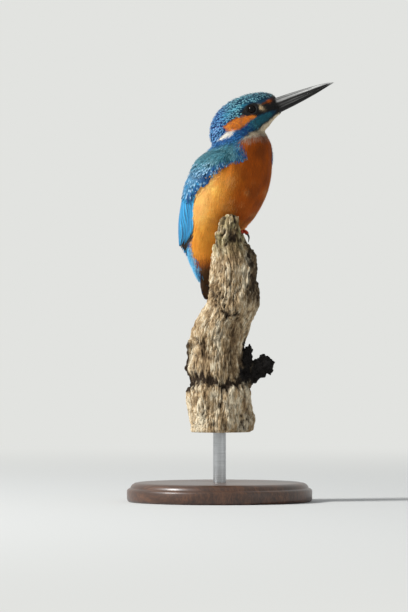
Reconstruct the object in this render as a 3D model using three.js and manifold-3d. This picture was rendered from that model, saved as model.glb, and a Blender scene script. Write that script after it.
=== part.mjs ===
// Common kingfisher (Alcedo atthis), adult male, life size, as a still display model. It sits upright behind the
// broken tip of a dead branch, head turned a little to its left and bill raised. A short cut length of the branch
// is its perch, carried by one steel rod on a round flat base. Millimetres, +Z up. The origin is the centre of
// the base's underside, and the bird's breast faces +X.
import * as THREE from "three";
import { mergeVertices } from "three/addons/utils/BufferGeometryUtils.js";
import Module from "manifold-3d";

const wasm = await Module();
wasm.setup();

// ---- Driving dimensions ----
const GAP = 0.3; // between two pieces that meet
const GRIP_HEIGHT = 168; // the ledge that the feet stand on, above the floor
const PERCH_AT = { x: 11.9, y: 10.5 }; // the bird's own origin, between its feet, from the base's centre
const PERCH_TURN = 45; // degrees from the bird's heading to the branch's own x axis

const HEAD_AT = { x: 5.3, y: 3.9, z: 76.9 }; // midway between the eyes, in the bird's frame
const HEAD_TURN = 30; // degrees to its left
const HEAD_LIFT = 21; // degrees that the bill points above level

const EYE_RADIUS = 3.3;
const EYE_SPREAD = 8.2; // eye's centre from the head's midplane

const BILL_ROOT = 10; // inside the face
const BILL_TIP = 53;
const BILL_TIP_Z = -2.4;
const MOUTH_SLOPE = 3; // degrees that the mouth line falls towards the gape

const NECK_TOP = { x: -1.5, z: 61, slope: 10.5 }; // the head's lower cut, tilted back with the head
const NECK_BASE_Z = 51.5;

const WING_TOP = 50.5;
const WING_TIP = -13;
const WING_THICK = 2.7;

const TAIL_BASE = -9;
const TAIL_TIP = -41.6;
const TAIL_HALF_WIDTH = 9.3;

const FOOT_X = -10.2;
const FOOT_SPREAD = 4.4; // foot's centre from the midplane
const TOE_RADIUS = 1.15;

const BRANCH_CUT = -124.4; // the sawn lower end, in the bird's frame
const BRANCH_Y = -1.5;
const ROD_RADIUS = 4;
const ROD_SOCKET = 14; // how deep the rod goes into the branch
const BASE_RADIUS = 58;
const BASE_HEIGHT = 12;
const BASE_SOCKET = 8;

// ---- Looks ----
const paint = (color, roughness, metalness = 0) =>
  new THREE.MeshStandardMaterial({ color, roughness, metalness });
const TEAL = paint(0x14668a, 0.5);
const BLUE = paint(0x1b5fa0, 0.5);
const ORANGE = paint(0xd9771e, 0.8);
const HORN = paint(0x1c1b1e, 0.35);
const EYE = paint(0x120c0a, 0.1);
const RED = paint(0xc4391f, 0.5);
const WOOD = paint(0x9c8b72, 0.9);
const STEEL = paint(0x8d9094, 0.3, 1);
const BASE = paint(0x3b2a1d, 0.5);

// ---- Solids ----
// A closed geometry as a manifold solid. A mirrored one comes inside out, and is turned back.
function solid(geometry) {
  const bare = geometry.clone();
  bare.deleteAttribute("normal");
  bare.deleteAttribute("uv");
  const merged = mergeVertices(bare, 1e-3);
  const vertProperties = new Float32Array(merged.attributes.position.array);
  const triVerts = new Uint32Array(merged.index.array);
  const made = new wasm.Manifold(new wasm.Mesh({ numProp: 3, vertProperties, triVerts }));
  if (made.volume() > 0) return made;
  for (let i = 0; i < triVerts.length; i += 3) {
    [triVerts[i + 1], triVerts[i + 2]] = [triVerts[i + 2], triVerts[i + 1]];
  }
  return new wasm.Manifold(new wasm.Mesh({ numProp: 3, vertProperties, triVerts }));
}

// The solid as a named mesh.
function piece(name, shape, material) {
  const mesh = shape.getMesh();
  const geometry = new THREE.BufferGeometry();
  const position = new Float32Array(mesh.numVert * 3);
  for (let i = 0; i < mesh.numVert; i++) {
    position.set(mesh.vertProperties.subarray(i * mesh.numProp, i * mesh.numProp + 3), i * 3);
  }
  geometry.setAttribute("position", new THREE.BufferAttribute(position, 3));
  geometry.setIndex(new THREE.BufferAttribute(mesh.triVerts, 1));
  geometry.computeVertexNormals();
  const made = new THREE.Mesh(geometry, material);
  made.name = name;
  return made;
}

const join = (...shapes) => shapes.reduce((all, one) => all.add(one));
const degrees = THREE.MathUtils.degToRad;

// A value read off a table of rows [station, value, value, ...], smoothly between its rows.
function read(table, column, station) {
  const down = table[0][0] > table[table.length - 1][0] ? -1 : 1;
  const at = (i) => table[Math.min(Math.max(i, 0), table.length - 1)];
  let i = 0;
  while (i < table.length - 2 && (station - table[i + 1][0]) * down > 0) i++;
  const [before, from, to, after] = [at(i - 1), at(i), at(i + 1), at(i + 2)];
  const span = to[0] - from[0];
  const t = THREE.MathUtils.clamp((station - from[0]) / span, 0, 1);
  const slope = (a, b) => (a === b ? 0 : ((b[column] - a[column]) / (b[0] - a[0])) * span);
  const [m0, m1] = [slope(before, to), slope(from, after)];
  const [t2, t3] = [t * t, t * t * t];
  return (
    (2 * t3 - 3 * t2 + 1) * from[column] +
    (t3 - 2 * t2 + t) * m0 +
    (3 * t2 - 2 * t3) * to[column] +
    (t3 - t2) * m1
  );
}

// How far a section has grown to its full size near a round end that is `reach` long.
function rounding(distance, reach) {
  const left = Math.max(0, 1 - distance / reach);
  return Math.sqrt(1 - left * left);
}

// A closed round body: SphereGeometry's grid with each ring moved to a station, 0 to 1, and each vertex out to
// that station's section. place(along, angle) gives the point.
function loft(sides, rings, place) {
  const geometry = new THREE.SphereGeometry(1, sides, rings);
  const [position, uv] = [geometry.getAttribute("position"), geometry.getAttribute("uv")];
  for (let i = 0; i < position.count; i++) {
    const point = place(1 - uv.getY(i), uv.getX(i) * 2 * Math.PI + Math.PI);
    position.setXYZ(i, point.x, point.y, point.z);
  }
  return geometry;
}

// A closed plate: BoxGeometry's grid, where place(along, across, through) gives the point, each from 0 to 1.
function plate(lengthSteps, widthSteps, place) {
  const geometry = new THREE.BoxGeometry(1, 1, 1, lengthSteps, widthSteps, 1);
  const position = geometry.getAttribute("position");
  for (let i = 0; i < position.count; i++) {
    const point = place(position.getX(i) + 0.5, position.getY(i) + 0.5, position.getZ(i) + 0.5);
    position.setXYZ(i, point.x, point.y, point.z);
  }
  return geometry;
}

// A round tube with closed, rounded ends along a curve; radiusAt(t) gives its radius.
function limb(curve, radiusAt, sides, rings, grow = 0) {
  const frames = curve.computeFrenetFrames(rings, false);
  return loft(sides, rings, (along, angle) => {
    const i = Math.round(along * rings);
    const end = i === 0 ? -1 : i === rings ? 1 : 0;
    const radius = end ? 0 : radiusAt(along) + grow;
    return curve
      .getPoint(along)
      .addScaledVector(frames.tangents[i], 3 * grow * end)
      .addScaledVector(frames.normals[i], -radius * Math.cos(angle))
      .addScaledVector(frames.binormals[i], -radius * Math.sin(angle));
  });
}

const path = (...points) => new THREE.CatmullRomCurve3(points.map((p) => new THREE.Vector3(...p)));

// ---- Trunk, in the bird's frame ----
// Level sections from the neck down to where the tail coverts end: height, back, breast, half width.
const TRUNK = [
  [67, -15, 10, 12.5],
  [62, -18.2, 13.2, 15.4],
  [56, -20.8, 16.2, 18],
  [52, -25.2, 16.4, 20.2],
  [47, -29.4, 16.2, 22],
  [42.5, -32.2, 15.4, 23],
  [33, -36.4, 14, 24.2],
  [20.6, -40.8, 8.6, 23.8],
  [8, -44.8, -1, 21.2],
  [-1, -46.3, -11.5, 17.4],
  [-8, -46.8, -18.6, 15.2],
  [-14, -46.2, -21, 13.2],
  [-20, -43.4, -22.8, 11.2],
  [-25, -40.4, -25.4, 9.8],
  [-30, -37, -28.2, 8.4],
  [-34, -34.2, -30, 6],
];
const TRUNK_TOP = TRUNK[0][0];
const TRUNK_LENGTH = TRUNK_TOP - TRUNK[TRUNK.length - 1][0];

// A point of the trunk's surface. The angle is counted from the breast towards the bird's left.
function trunkPoint(angle, z, out = 0) {
  const [back, breast, halfWidth] = [1, 2, 3].map((column) => read(TRUNK, column, z));
  const halfDepth = (breast - back) / 2;
  return new THREE.Vector3(
    (breast + back) / 2 + (halfDepth + out) * Math.cos(angle),
    (halfWidth + out) * Math.sin(angle),
    z,
  );
}

function trunkShape(grow = 0) {
  return loft(22, 22, (along, angle) => {
    const t = (1 - Math.cos(Math.PI * along)) / 2;
    const full = trunkPoint(angle, TRUNK_TOP - TRUNK_LENGTH * t, grow);
    const middle = trunkPoint(angle, full.z, 0).add(trunkPoint(angle + Math.PI, full.z, 0)).multiplyScalar(0.5);
    return middle.lerp(full, rounding(t, 0.04) * rounding(1 - t, 0.06));
  });
}

// ---- Head, in its own frame: +X along the bill, midway between the eyes ----
// Sections across the head: station, crown, throat, half width, height of the widest part.
const HEAD = [
  [16, 1.5, -6.8, 4.3, -3],
  [14.5, 3.4, -7.4, 5.7, -2.6],
  [12, 6.3, -8.5, 7.4, -1.8],
  [8, 8.8, -10.3, 9.3, -1.2],
  [2.4, 10.4, -13.8, 11, -1.6],
  [-7.6, 11.4, -17, 12.5, -3],
  [-17, 10, -18, 12.8, -4],
  [-25, 6.2, -17, 11.8, -5.4],
  [-30.5, 1, -15, 9.6, -7],
  [-33.5, -3.5, -12, 7, -8],
];
const HEAD_FRONT = HEAD[0][0];
const HEAD_LENGTH = HEAD_FRONT - HEAD[HEAD.length - 1][0];

function headShape() {
  return loft(20, 18, (along, angle) => {
    const t = (1 - Math.cos(Math.PI * along)) / 2;
    const x = HEAD_FRONT - HEAD_LENGTH * t;
    const [crown, throat, halfWidth, widest] = [1, 2, 3, 4].map((column) => read(HEAD, column, x));
    const size = rounding(t, 0.03) * rounding(1 - t, 0.12);
    const rise = Math.sin(angle) > 0 ? crown - widest : widest - throat;
    return new THREE.Vector3(x, size * halfWidth * Math.cos(angle), widest + size * rise * Math.sin(angle));
  });
}

// ---- Bill ----
// Sections across the closed bill: station, ridge, keel, half width. The feathers end near station 15.
const BILL = [
  [10, 2.8, -7.5, 4.5],
  [16, 2.3, -7.2, 4],
  [24, 1.8, -6.6, 3.2],
  [32, 1.1, -5.8, 2.5],
  [40, 0.3, -4.8, 1.8],
  [46, -0.5, -3.8, 1.2],
  [50, -1.3, -3.1, 0.8],
  [BILL_TIP, BILL_TIP_Z + 0.2, BILL_TIP_Z - 0.2, 0.2],
];

function billShape(grow = 0) {
  return loft(14, 14, (along, angle) => {
    const x = THREE.MathUtils.lerp(BILL_TIP + grow, BILL_ROOT, along);
    const [ridge, keel, halfWidth] = [1, 2, 3].map((column) => read(BILL, column, x));
    const closed = along === 0 || along === 1 ? 0 : 1;
    return new THREE.Vector3(
      x,
      closed * (halfWidth + grow) * Math.cos(angle),
      (ridge + keel) / 2 + closed * ((ridge - keel) / 2 + grow) * Math.sin(angle),
    );
  });
}

function billHalves() {
  const slope = degrees(MOUTH_SLOPE);
  const up = [-Math.sin(slope), 0, Math.cos(slope)];
  const height = up[0] * BILL_TIP + up[2] * BILL_TIP_Z;
  const whole = solid(billShape());
  return {
    upper: whole.trimByPlane(up, height + GAP / 2),
    lower: whole.trimByPlane(up.map((v) => -v), -height + GAP / 2),
  };
}

// ---- Eyes ----
const eyeShape = (side, grow = 0) =>
  new THREE.SphereGeometry(EYE_RADIUS + grow, 12, 9).translate(0, side * EYE_SPREAD, 0);

// ---- Wings ----
// The folded wing lies on the trunk: height, angle of its front edge and of its back edge, in degrees.
const WING = [
  [50.5, 68, 128],
  [47, 60, 146],
  [42, 64, 156],
  [34, 80, 162],
  [27, 98, 164],
  [19, 110, 163],
  [9, 113, 160],
  [0, 115, 157],
  [-8, 121, 152],
  [-14, 132, 143],
];

function wingShape(side, grow = 0) {
  return plate(16, 8, (along, across, through) => {
    const z = WING_TOP + grow + (WING_TIP - WING_TOP - 2 * grow) * along;
    const [front, back] = [1, 2].map((column) => read(WING, column, z));
    const angle = degrees(front + (back - front) * across);
    const crown = Math.sqrt(Math.max(0, 1 - (2 * across - 1) ** 2));
    const fade = (1 - 0.2 * along) * rounding(along, 0.12) * rounding(1 - along, 0.16);
    const thick = 0.6 + WING_THICK * fade * crown;
    const out = through > 0.5 ? GAP * 1.6 + thick + grow : GAP * 1.6 - grow;
    return trunkPoint(side * angle, z, out);
  });
}

// ---- Tail ----
// The closed fan: a thin plate, slightly roofed, whose middle feathers are the longest.
function tailShape(grow = 0) {
  return plate(8, 8, (along, across, through) => {
    const side = 2 * across - 1;
    const tip = TAIL_TIP + 4.2 * side ** 4 - grow;
    const z = TAIL_BASE + grow + (tip - TAIL_BASE - grow) * along;
    const halfWidth = THREE.MathUtils.lerp(6.4, TAIL_HALF_WIDTH, Math.min(1, along * 1.5)) + grow;
    const middle = -33.2 + 2.4 * along + 1.6 * side ** 2;
    const thick = THREE.MathUtils.lerp(2, 0.9, along) + 2 * grow;
    return new THREE.Vector3(middle + (0.5 - through) * thick, halfWidth * side, z);
  });
}

// ---- Legs and feet ----
function legShape(side, grow = 0) {
  const shank = path([-14, side * 6.4, 7], [-12.2, side * 5.4, 2.6], [FOOT_X, side * FOOT_SPREAD, -0.4]);
  return limb(shank, (t) => 1.9 - 0.6 * t, 8, 5, grow);
}

// Toes run out from the foot's centre, arch over the rim of the ledge and end in a hooked claw: direction in
// degrees from straight ahead (outwards positive), reach to the claw's tip, and how far that tip drops.
const TOES = [
  { name: "inner", turn: -24, reach: 7.8, drop: 5 },
  { name: "middle", turn: 2, reach: 9, drop: 5.8 },
  { name: "outer", turn: 18, reach: 7.6, drop: 5.8 },
  { name: "hind", turn: 176, reach: 6, drop: 3 },
];

function toeShape(side, toe, grow = 0) {
  const turn = side * degrees(toe.turn);
  const at = (share, z) => [
    FOOT_X + toe.reach * share * Math.cos(turn),
    side * FOOT_SPREAD + toe.reach * share * Math.sin(turn),
    z,
  ];
  const claw = [at(0.82, -0.02 * toe.drop), at(1, -0.45 * toe.drop), at(0.94, -toe.drop)];
  const line = path(at(-0.1, -0.4), at(0.3, 0.6), at(0.6, 1.2), ...claw);
  const radiusAt = (t) => (t < 0.62 ? TOE_RADIUS : THREE.MathUtils.lerp(0.85, 0.3, (t - 0.62) / 0.38));
  return limb(line, radiusAt, 6, 11, grow);
}

function footSolid(side, grow = 0) {
  return join(...TOES.map((toe) => solid(toeShape(side, toe, grow))));
}

// ---- Perch, in the branch's own frame: +X to the side of the view, +Y away from it ----
// Level sections of the branch: height, centre, half width, half depth.
const BRANCH = [
  [-2.8, -10, 8.6, 10.5],
  [-5.6, -9.4, 10.4, 12],
  [-9.4, -7.6, 12.2, 12.8],
  [-19.4, -6.8, 14.5, 13.8],
  [-30.6, -7, 15.2, 14.6],
  [-43, -8.2, 16.4, 15.6],
  [-54.4, -13.1, 18, 16.6],
  [-61.3, -16, 17.9, 16.8],
  [-72, -17.4, 17.3, 16.6],
  [-83, -18.4, 17.8, 17],
  [-91.5, -17.6, 18.2, 17.6],
  [-94, -17.2, 20, 19.2],
  [-110.6, -17.2, 20.3, 19.4],
  [-119.4, -15.4, 19.7, 18.8],
  [-124.4, -15.8, 18.8, 18.4],
  [-132, -16.5, 18.6, 18.2],
];
const BRANCH_TOP = BRANCH[0][0];
const BRANCH_END = BRANCH[BRANCH.length - 1][0];

// Swellings and flats that a weathered branch has, as a share of its radius.
const gnarl = (angle, z) =>
  1 + 0.035 * Math.sin(3 * angle + z * 0.09) + 0.025 * Math.sin(5 * angle - z * 0.17 + 1) - 0.015;

function branchTrunk(grow = 0) {
  return loft(20, 25, (along, angle) => {
    const z = BRANCH_TOP + grow + (BRANCH_END - BRANCH_TOP - grow) * along;
    const [centre, halfWidth, halfDepth] = [1, 2, 3].map((column) => read(BRANCH, column, z));
    const size = along === 0 || along === 1 ? 0 : gnarl(angle, z);
    return new THREE.Vector3(
      centre + size * (halfWidth + grow) * Math.cos(angle),
      BRANCH_Y + size * (halfDepth + grow) * Math.sin(angle),
      z,
    );
  });
}

// The splinter of the broken tip that stands in front of the bird's belly: height, centre, half width, depth.
const SPIRE = [
  [12.8, -8.2, 4, 2.8, -12],
  [9.5, -8.8, 5.3, 3.6, -11.8],
  [5, -10, 7, 4.2, -11.2],
  [0, -10.4, 7.8, 4.6, -10.4],
  [-8, -9.8, 9.2, 6, -8.4],
  [-22, -8.4, 9, 7, -6],
];

function spireShape(grow = 0) {
  return loft(14, 12, (along, angle) => {
    const z = THREE.MathUtils.lerp(SPIRE[0][0] + grow, SPIRE[SPIRE.length - 1][0], along);
    const [centre, halfWidth, halfDepth, y] = [1, 2, 3, 4].map((column) => read(SPIRE, column, z));
    const size = along === 0 || along === 1 ? 0 : gnarl(angle * 2, z * 3) * rounding(along, 0.08);
    return new THREE.Vector3(
      centre + size * (halfWidth + grow) * Math.cos(angle),
      y + size * (halfDepth + grow) * Math.sin(angle),
      z,
    );
  });
}

// What is left of a side shoot, in charred-looking bark: a stout stub and a thin splinter beside it.
function stubShapes() {
  const y = BRANCH_Y - 2;
  const stub = path([-6, BRANCH_Y, -95], [3, y + 1, -89], [9.5, y, -84], [17.2, y, -80]);
  const splinter = path([-4, y + 1, -92], [1, y, -82], [2.8, y, -69.2]);
  return [
    limb(stub, (t) => 6.7 - 0.9 * Math.sin(3.2 * t), 12, 9),
    limb(splinter, (t) => 4.8 - 2.3 * t, 10, 7),
  ];
}

function rodShape(grow = 0) {
  const from = BASE_HEIGHT - BASE_SOCKET + GAP - grow;
  const to = GRIP_HEIGHT + BRANCH_CUT + ROD_SOCKET - GAP + grow;
  return new THREE.CylinderGeometry(ROD_RADIUS + grow, ROD_RADIUS + grow, to - from, 24)
    .rotateX(Math.PI / 2)
    .translate(0, 0, (from + to) / 2);
}

// A turned disc with a small chamfer round both edges.
function baseShape() {
  const chamfer = 1.5;
  const profile = [
    [0, 0],
    [BASE_RADIUS - chamfer / 2, 0],
    [BASE_RADIUS, chamfer / 2],
    [BASE_RADIUS, BASE_HEIGHT - chamfer],
    [BASE_RADIUS - chamfer, BASE_HEIGHT],
    [0, BASE_HEIGHT],
  ].map(([x, y]) => new THREE.Vector2(x, y));
  return new THREE.LatheGeometry(profile, 40).rotateX(Math.PI / 2);
}

// ---- Assembly ----
const model = new THREE.Group();
const bird = new THREE.Group();
bird.position.set(PERCH_AT.x, PERCH_AT.y, GRIP_HEIGHT);
const headGroup = new THREE.Group();
headGroup.position.set(HEAD_AT.x, HEAD_AT.y, HEAD_AT.z);
headGroup.rotation.set(0, -degrees(HEAD_LIFT), degrees(HEAD_TURN), "ZYX");
const perch = new THREE.Group();
perch.position.copy(bird.position);
perch.rotation.z = degrees(PERCH_TURN);
bird.add(headGroup);
model.add(bird, perch);
model.updateMatrixWorld(true);

// Geometry of one group's frame, as it lies in another's.
const carried = (geometry, from, to) =>
  geometry.applyMatrix4(to.matrixWorld.clone().invert().multiply(from.matrixWorld));

// Head, neck and trunk are one body, parted with thin cuts.
const body = join(solid(trunkShape()), solid(carried(headShape(), headGroup, bird)));
const tilt = degrees(NECK_TOP.slope);
const heading = degrees(HEAD_TURN);
const headUp = [-Math.sin(tilt) * Math.cos(heading), -Math.sin(tilt) * Math.sin(heading), Math.cos(tilt)];
const headCut = headUp[0] * NECK_TOP.x + headUp[2] * NECK_TOP.z;
const down = (normal) => normal.map((v) => -v);

const face = [billShape(GAP), eyeShape(1, GAP), eyeShape(-1, GAP)];
const head = face.reduce(
  (all, one) => all.subtract(solid(carried(one, headGroup, bird))),
  body.trimByPlane(headUp, headCut + GAP / 2),
);
const neck = body
  .trimByPlane(down(headUp), -headCut + GAP / 2)
  .trimByPlane([0, 0, 1], NECK_BASE_Z + GAP / 2);

const sockets = [tailShape(GAP), legShape(1, GAP), legShape(-1, GAP)].map(solid);
const trunk = [...sockets, footSolid(1, GAP), footSolid(-1, GAP)].reduce(
  (all, one) => all.subtract(one),
  body.trimByPlane([0, 0, -1], -NECK_BASE_Z + GAP / 2),
);

bird.add(piece("head", head, TEAL), piece("neck", neck, TEAL), piece("trunk", trunk, ORANGE));
bird.add(piece("tail", solid(tailShape()), BLUE));
for (const [side, name] of [
  [1, "left"],
  [-1, "right"],
]) {
  const foot = footSolid(side);
  bird.add(piece(`wing_${name}`, solid(wingShape(side)), BLUE));
  bird.add(piece(`leg_${name}`, solid(legShape(side)).subtract(footSolid(side, GAP)), RED));
  bird.add(piece(`foot_${name}`, foot, RED));
  headGroup.add(piece(`eye_${name}`, solid(eyeShape(side)), EYE));
}
const bill = billHalves();
headGroup.add(piece("bill_upper", bill.upper, HORN), piece("bill_lower", bill.lower, HORN));

// The branch gives way to the feet, and is drilled for the rod.
const feet = [1, -1].map((side) => footSolid(side, GAP));
const branch = join(...[branchTrunk(), spireShape(), ...stubShapes()].map((g) => solid(carried(g, perch, bird))))
  .trimByPlane([0, 0, 1], BRANCH_CUT)
  .subtract(feet[0])
  .subtract(feet[1])
  .subtract(solid(carried(rodShape(GAP), model, bird)));
bird.add(piece("perch_branch", branch, WOOD));

model.add(piece("stand_rod", solid(rodShape()), STEEL));
model.add(piece("stand_base", solid(baseShape()).subtract(solid(rodShape(GAP))), BASE));

export default model;
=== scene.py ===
"""A common kingfisher on a cut length of dead branch, as a still display model, dressed round its solids."""
import math

import bmesh
import bpy
import numpy as np
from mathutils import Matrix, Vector, noise
from mathutils.bvhtree import BVHTree
from mathutils.kdtree import KDTree


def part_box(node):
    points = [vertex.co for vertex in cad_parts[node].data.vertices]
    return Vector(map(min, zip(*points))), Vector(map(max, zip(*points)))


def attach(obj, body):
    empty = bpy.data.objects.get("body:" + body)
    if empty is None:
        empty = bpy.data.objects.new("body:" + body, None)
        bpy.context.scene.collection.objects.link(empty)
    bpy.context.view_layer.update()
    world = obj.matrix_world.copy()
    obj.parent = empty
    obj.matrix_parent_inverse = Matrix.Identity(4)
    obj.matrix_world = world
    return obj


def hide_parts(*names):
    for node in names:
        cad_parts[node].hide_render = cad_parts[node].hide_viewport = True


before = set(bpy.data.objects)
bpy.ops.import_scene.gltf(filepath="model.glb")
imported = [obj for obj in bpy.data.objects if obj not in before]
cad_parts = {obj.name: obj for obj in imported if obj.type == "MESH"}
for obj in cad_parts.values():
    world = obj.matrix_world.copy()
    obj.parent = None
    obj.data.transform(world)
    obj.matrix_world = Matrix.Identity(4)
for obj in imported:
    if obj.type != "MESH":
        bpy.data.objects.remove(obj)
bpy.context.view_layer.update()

# ----------------------------------------------------------------------------------------------------
# Display base
# A flat disc turned from one piece of dark stained hardwood, its edges rounded over on the lathe and
# waxed. It stands on the floor and takes the rod in a blind hole at its centre.
# ----------------------------------------------------------------------------------------------------
MM = 0.001


def tint(red, green, blue):
    """A paint colour given as it looks, 0 to 255, as the linear colour that the shaders take."""
    parts = np.array([red, green, blue]) / 255
    return np.where(parts <= 0.04045, parts / 12.92, ((parts + 0.055) / 1.055) ** 2.4)


def step(tree, kind, inputs=(), **settings):
    """Adds one step to a finish. An input is a plain value, a tint or another step's output."""
    made = tree.nodes.new("ShaderNode" + kind)
    for name, value in settings.items():
        setattr(made, name, value)
    for name, value in dict(inputs).items():
        if isinstance(value, bpy.types.NodeSocket):
            tree.links.new(value, made.inputs[name])
        else:
            made.inputs[name].default_value = (*value, 1) if made.inputs[name].type == "RGBA" else value
    return made


def new_finish(name, **fixed):
    """A finish with its shader's fixed values set: the material, its tree and its shader."""
    made = bpy.data.materials.new(name)
    made.use_nodes = True
    shader = made.node_tree.nodes["Principled BSDF"]
    for key, value in fixed.items():
        shader.inputs[key.replace("_", " ")].default_value = value
    return made, made.node_tree, shader


def stained(tree, amount, *stops):
    """A colour that runs through its (place, colour) stops as amount goes from 0 to 1."""
    run = step(tree, "ValToRGB", {"Fac": amount})
    for _ in stops[2:]:
        run.color_ramp.elements.new(0.5)
    for element, (place, colour) in zip(run.color_ramp.elements, stops):
        element.position, element.color = place, (*colour, 1)
    return run.outputs["Color"]


def worked(tree, operation, one, two):
    """One value worked out from two."""
    return step(tree, "Math", {0: one, 1: two}, operation=operation).outputs[0]


def scaled(tree, value, low, high, least=0.0, most=1.0):
    """A value that runs from low to high, made to run from least to most."""
    inputs = {"Value": value, "From Min": low, "From Max": high, "To Min": least, "To Max": most}
    return step(tree, "MapRange", inputs).outputs["Result"]


def grain(tree, across, along, detail=5, roughness=0.6, place=None):
    """Noise drawn out along the piece, from its own coordinates: how many waves to a metre each way."""
    place = place or step(tree, "TexCoord").outputs["Object"]
    drawn = step(tree, "Mapping", {"Vector": place, "Scale": (across[0], across[1], along)})
    inputs = {"Vector": drawn.outputs["Vector"], "Scale": 1, "Detail": detail, "Roughness": roughness}
    return step(tree, "TexNoise", inputs).outputs["Fac"]


def relief(tree, shader, height, strength, depth):
    """Fine relief on a finish, its depth in millimetres."""
    inputs = {"Height": height, "Strength": strength, "Distance": depth * MM}
    tree.links.new(step(tree, "Bump", inputs).outputs["Normal"], shader.inputs["Normal"])


def mesh_of(name, points, *face_sets):
    """A smooth-shaded mesh from points in millimetres and arrays of triangles or quads."""
    mesh = bpy.data.meshes.new(name)
    sets = [np.asarray(faces, np.int32) for faces in face_sets if len(faces)]
    sizes = np.concatenate([np.full(len(faces), faces.shape[1]) for faces in sets])
    corners = np.concatenate([faces.ravel() for faces in sets])
    mesh.vertices.add(len(points))
    mesh.vertices.foreach_set("co", (np.asarray(points) * MM).astype(np.float32).ravel())
    mesh.loops.add(len(corners))
    mesh.loops.foreach_set("vertex_index", corners)
    mesh.polygons.add(len(sizes))
    mesh.polygons.foreach_set("loop_start", (np.cumsum(sizes) - sizes).astype(np.int32))
    mesh.update(calc_edges=True)
    mesh.polygons.foreach_set("use_smooth", np.ones(len(sizes), bool))
    return mesh


def fit(name, mesh, slot, material, *solids):
    """Sets a finished mesh in its place on the model, in its finish, standing for the solids named."""
    piece = bpy.data.objects.new(name, mesh)
    bpy.context.scene.collection.objects.link(piece)
    mesh.materials.append(material)
    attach(piece, "root")
    if solids:
        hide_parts(*solids)
    return piece


def rows_joined(rows, columns, closed):
    """Quads between rows of points stored one after another; closed joins each row's ends."""
    row, column = np.meshgrid(np.arange(rows - 1), np.arange(columns - (not closed)), indexing="ij")
    after = (column + 1) % columns
    here, above = row * columns, (row + 1) * columns
    return np.stack([here + column, here + after, above + after, above + column], -1).reshape(-1, 4)


def tube(name, rings):
    """A closed skin over rings of points, capped at both ends. Rings turn left about their way forward."""
    rings = np.asarray(rings, float)
    count, around = rings.shape[:2]
    points = np.concatenate([rings.reshape(-1, 3), rings[:1].mean(1), rings[-1:].mean(1)])
    here = np.arange(around)
    after = (here + 1) % around
    last = (count - 1) * around
    first_cap = np.stack([after, here, np.full(around, count * around)], -1)
    last_cap = np.stack([last + here, last + after, np.full(around, count * around + 1)], -1)
    return mesh_of(name, points, rows_joined(count, around, True), first_cap, last_cap)


def turned(name, profile, around):
    """A turned solid on the stand's axis, from (radius, height) pairs, its underside first."""
    angle = np.arange(around) * 2 * np.pi / around
    flat = np.stack([np.cos(angle), np.sin(angle), np.zeros(around)], -1)
    return tube(name, [flat * radius + [0, 0, height] for radius, height in profile])


base_high = np.array(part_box("stand_base")[1]) / MM
rod_low, rod_high = (np.array(corner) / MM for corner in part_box("stand_rod"))
BASE_R, BASE_TOP = base_high[0], base_high[2]
ROD_R = rod_high[0]
base_profile = [  # radius, height: the foot, the rounded edge, the flat top and the rod's hole
    (BASE_R - 2.2, 0), (BASE_R - 1.0, 0.25), (BASE_R - 0.3, 0.9), (BASE_R, 1.9), (BASE_R, BASE_TOP - 5.2),
    (BASE_R - 0.4, BASE_TOP - 4.3), (BASE_R - 1.3, BASE_TOP - 3.7), (BASE_R - 2.0, BASE_TOP - 3.5),
    (BASE_R - 2.3, BASE_TOP - 3.1), (BASE_R - 2.5, BASE_TOP - 2.4), (BASE_R - 3.3, BASE_TOP - 1.3),
    (BASE_R - 4.8, BASE_TOP - 0.4), (BASE_R - 7.0, BASE_TOP), (BASE_R - 7.6, BASE_TOP),
    (ROD_R + 1.2, BASE_TOP), (ROD_R + 0.5, BASE_TOP - 0.15), (ROD_R + 0.2, BASE_TOP - 0.6),
    (ROD_R + 0.2, rod_low[2] - 0.1),
]
hardwood, tree, shader = new_finish("waxed_hardwood", Coat_Weight=0.25, Coat_Roughness=0.2)
figure = grain(tree, (26, 190), 90, 7)
pores = grain(tree, (90, 1500), 400, 3)
shade = worked(tree, "MULTIPLY", figure, pores)
stain = stained(tree, shade, (0.1, tint(38, 24, 17)), (0.26, tint(74, 47, 32)), (0.42, tint(104, 68, 45)))
tree.links.new(stain, shader.inputs["Base Color"])
tree.links.new(scaled(tree, figure, 0, 1, 0.3, 0.5), shader.inputs["Roughness"])
relief(tree, shader, pores, 0.25, 0.15)
fit("stand_disc", turned("stand_disc", base_profile, 160), "stand_wood", hardwood, "stand_base")

# ----------------------------------------------------------------------------------------------------
# Stand rod
# A straight steel rod, drawn and then brushed round on the lathe, with both ends chamfered. It is
# pressed into the base below and into the drilled end of the branch above.
# ----------------------------------------------------------------------------------------------------
ROD_CHAMFER = 0.5
low, high = rod_low[2], rod_high[2]
rod_heights = np.linspace(low + ROD_CHAMFER, high - ROD_CHAMFER, 30)
rod_profile = [(ROD_R - ROD_CHAMFER, low), *((ROD_R, z) for z in rod_heights), (ROD_R - ROD_CHAMFER, high)]
steel, tree, shader = new_finish("brushed_steel", Metallic=1.0)
brushing = grain(tree, (60, 60), 5200, 3)
bright = stained(tree, brushing, (0.3, tint(158, 160, 162)), (0.7, tint(198, 200, 202)))
tree.links.new(bright, shader.inputs["Base Color"])
tree.links.new(scaled(tree, brushing, 0, 1, 0.24, 0.42), shader.inputs["Roughness"])
relief(tree, shader, brushing, 0.2, 0.05)
fit("stand_pin", turned("stand_pin", rod_profile, 64), "stand_metal", steel, "stand_rod")

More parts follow.
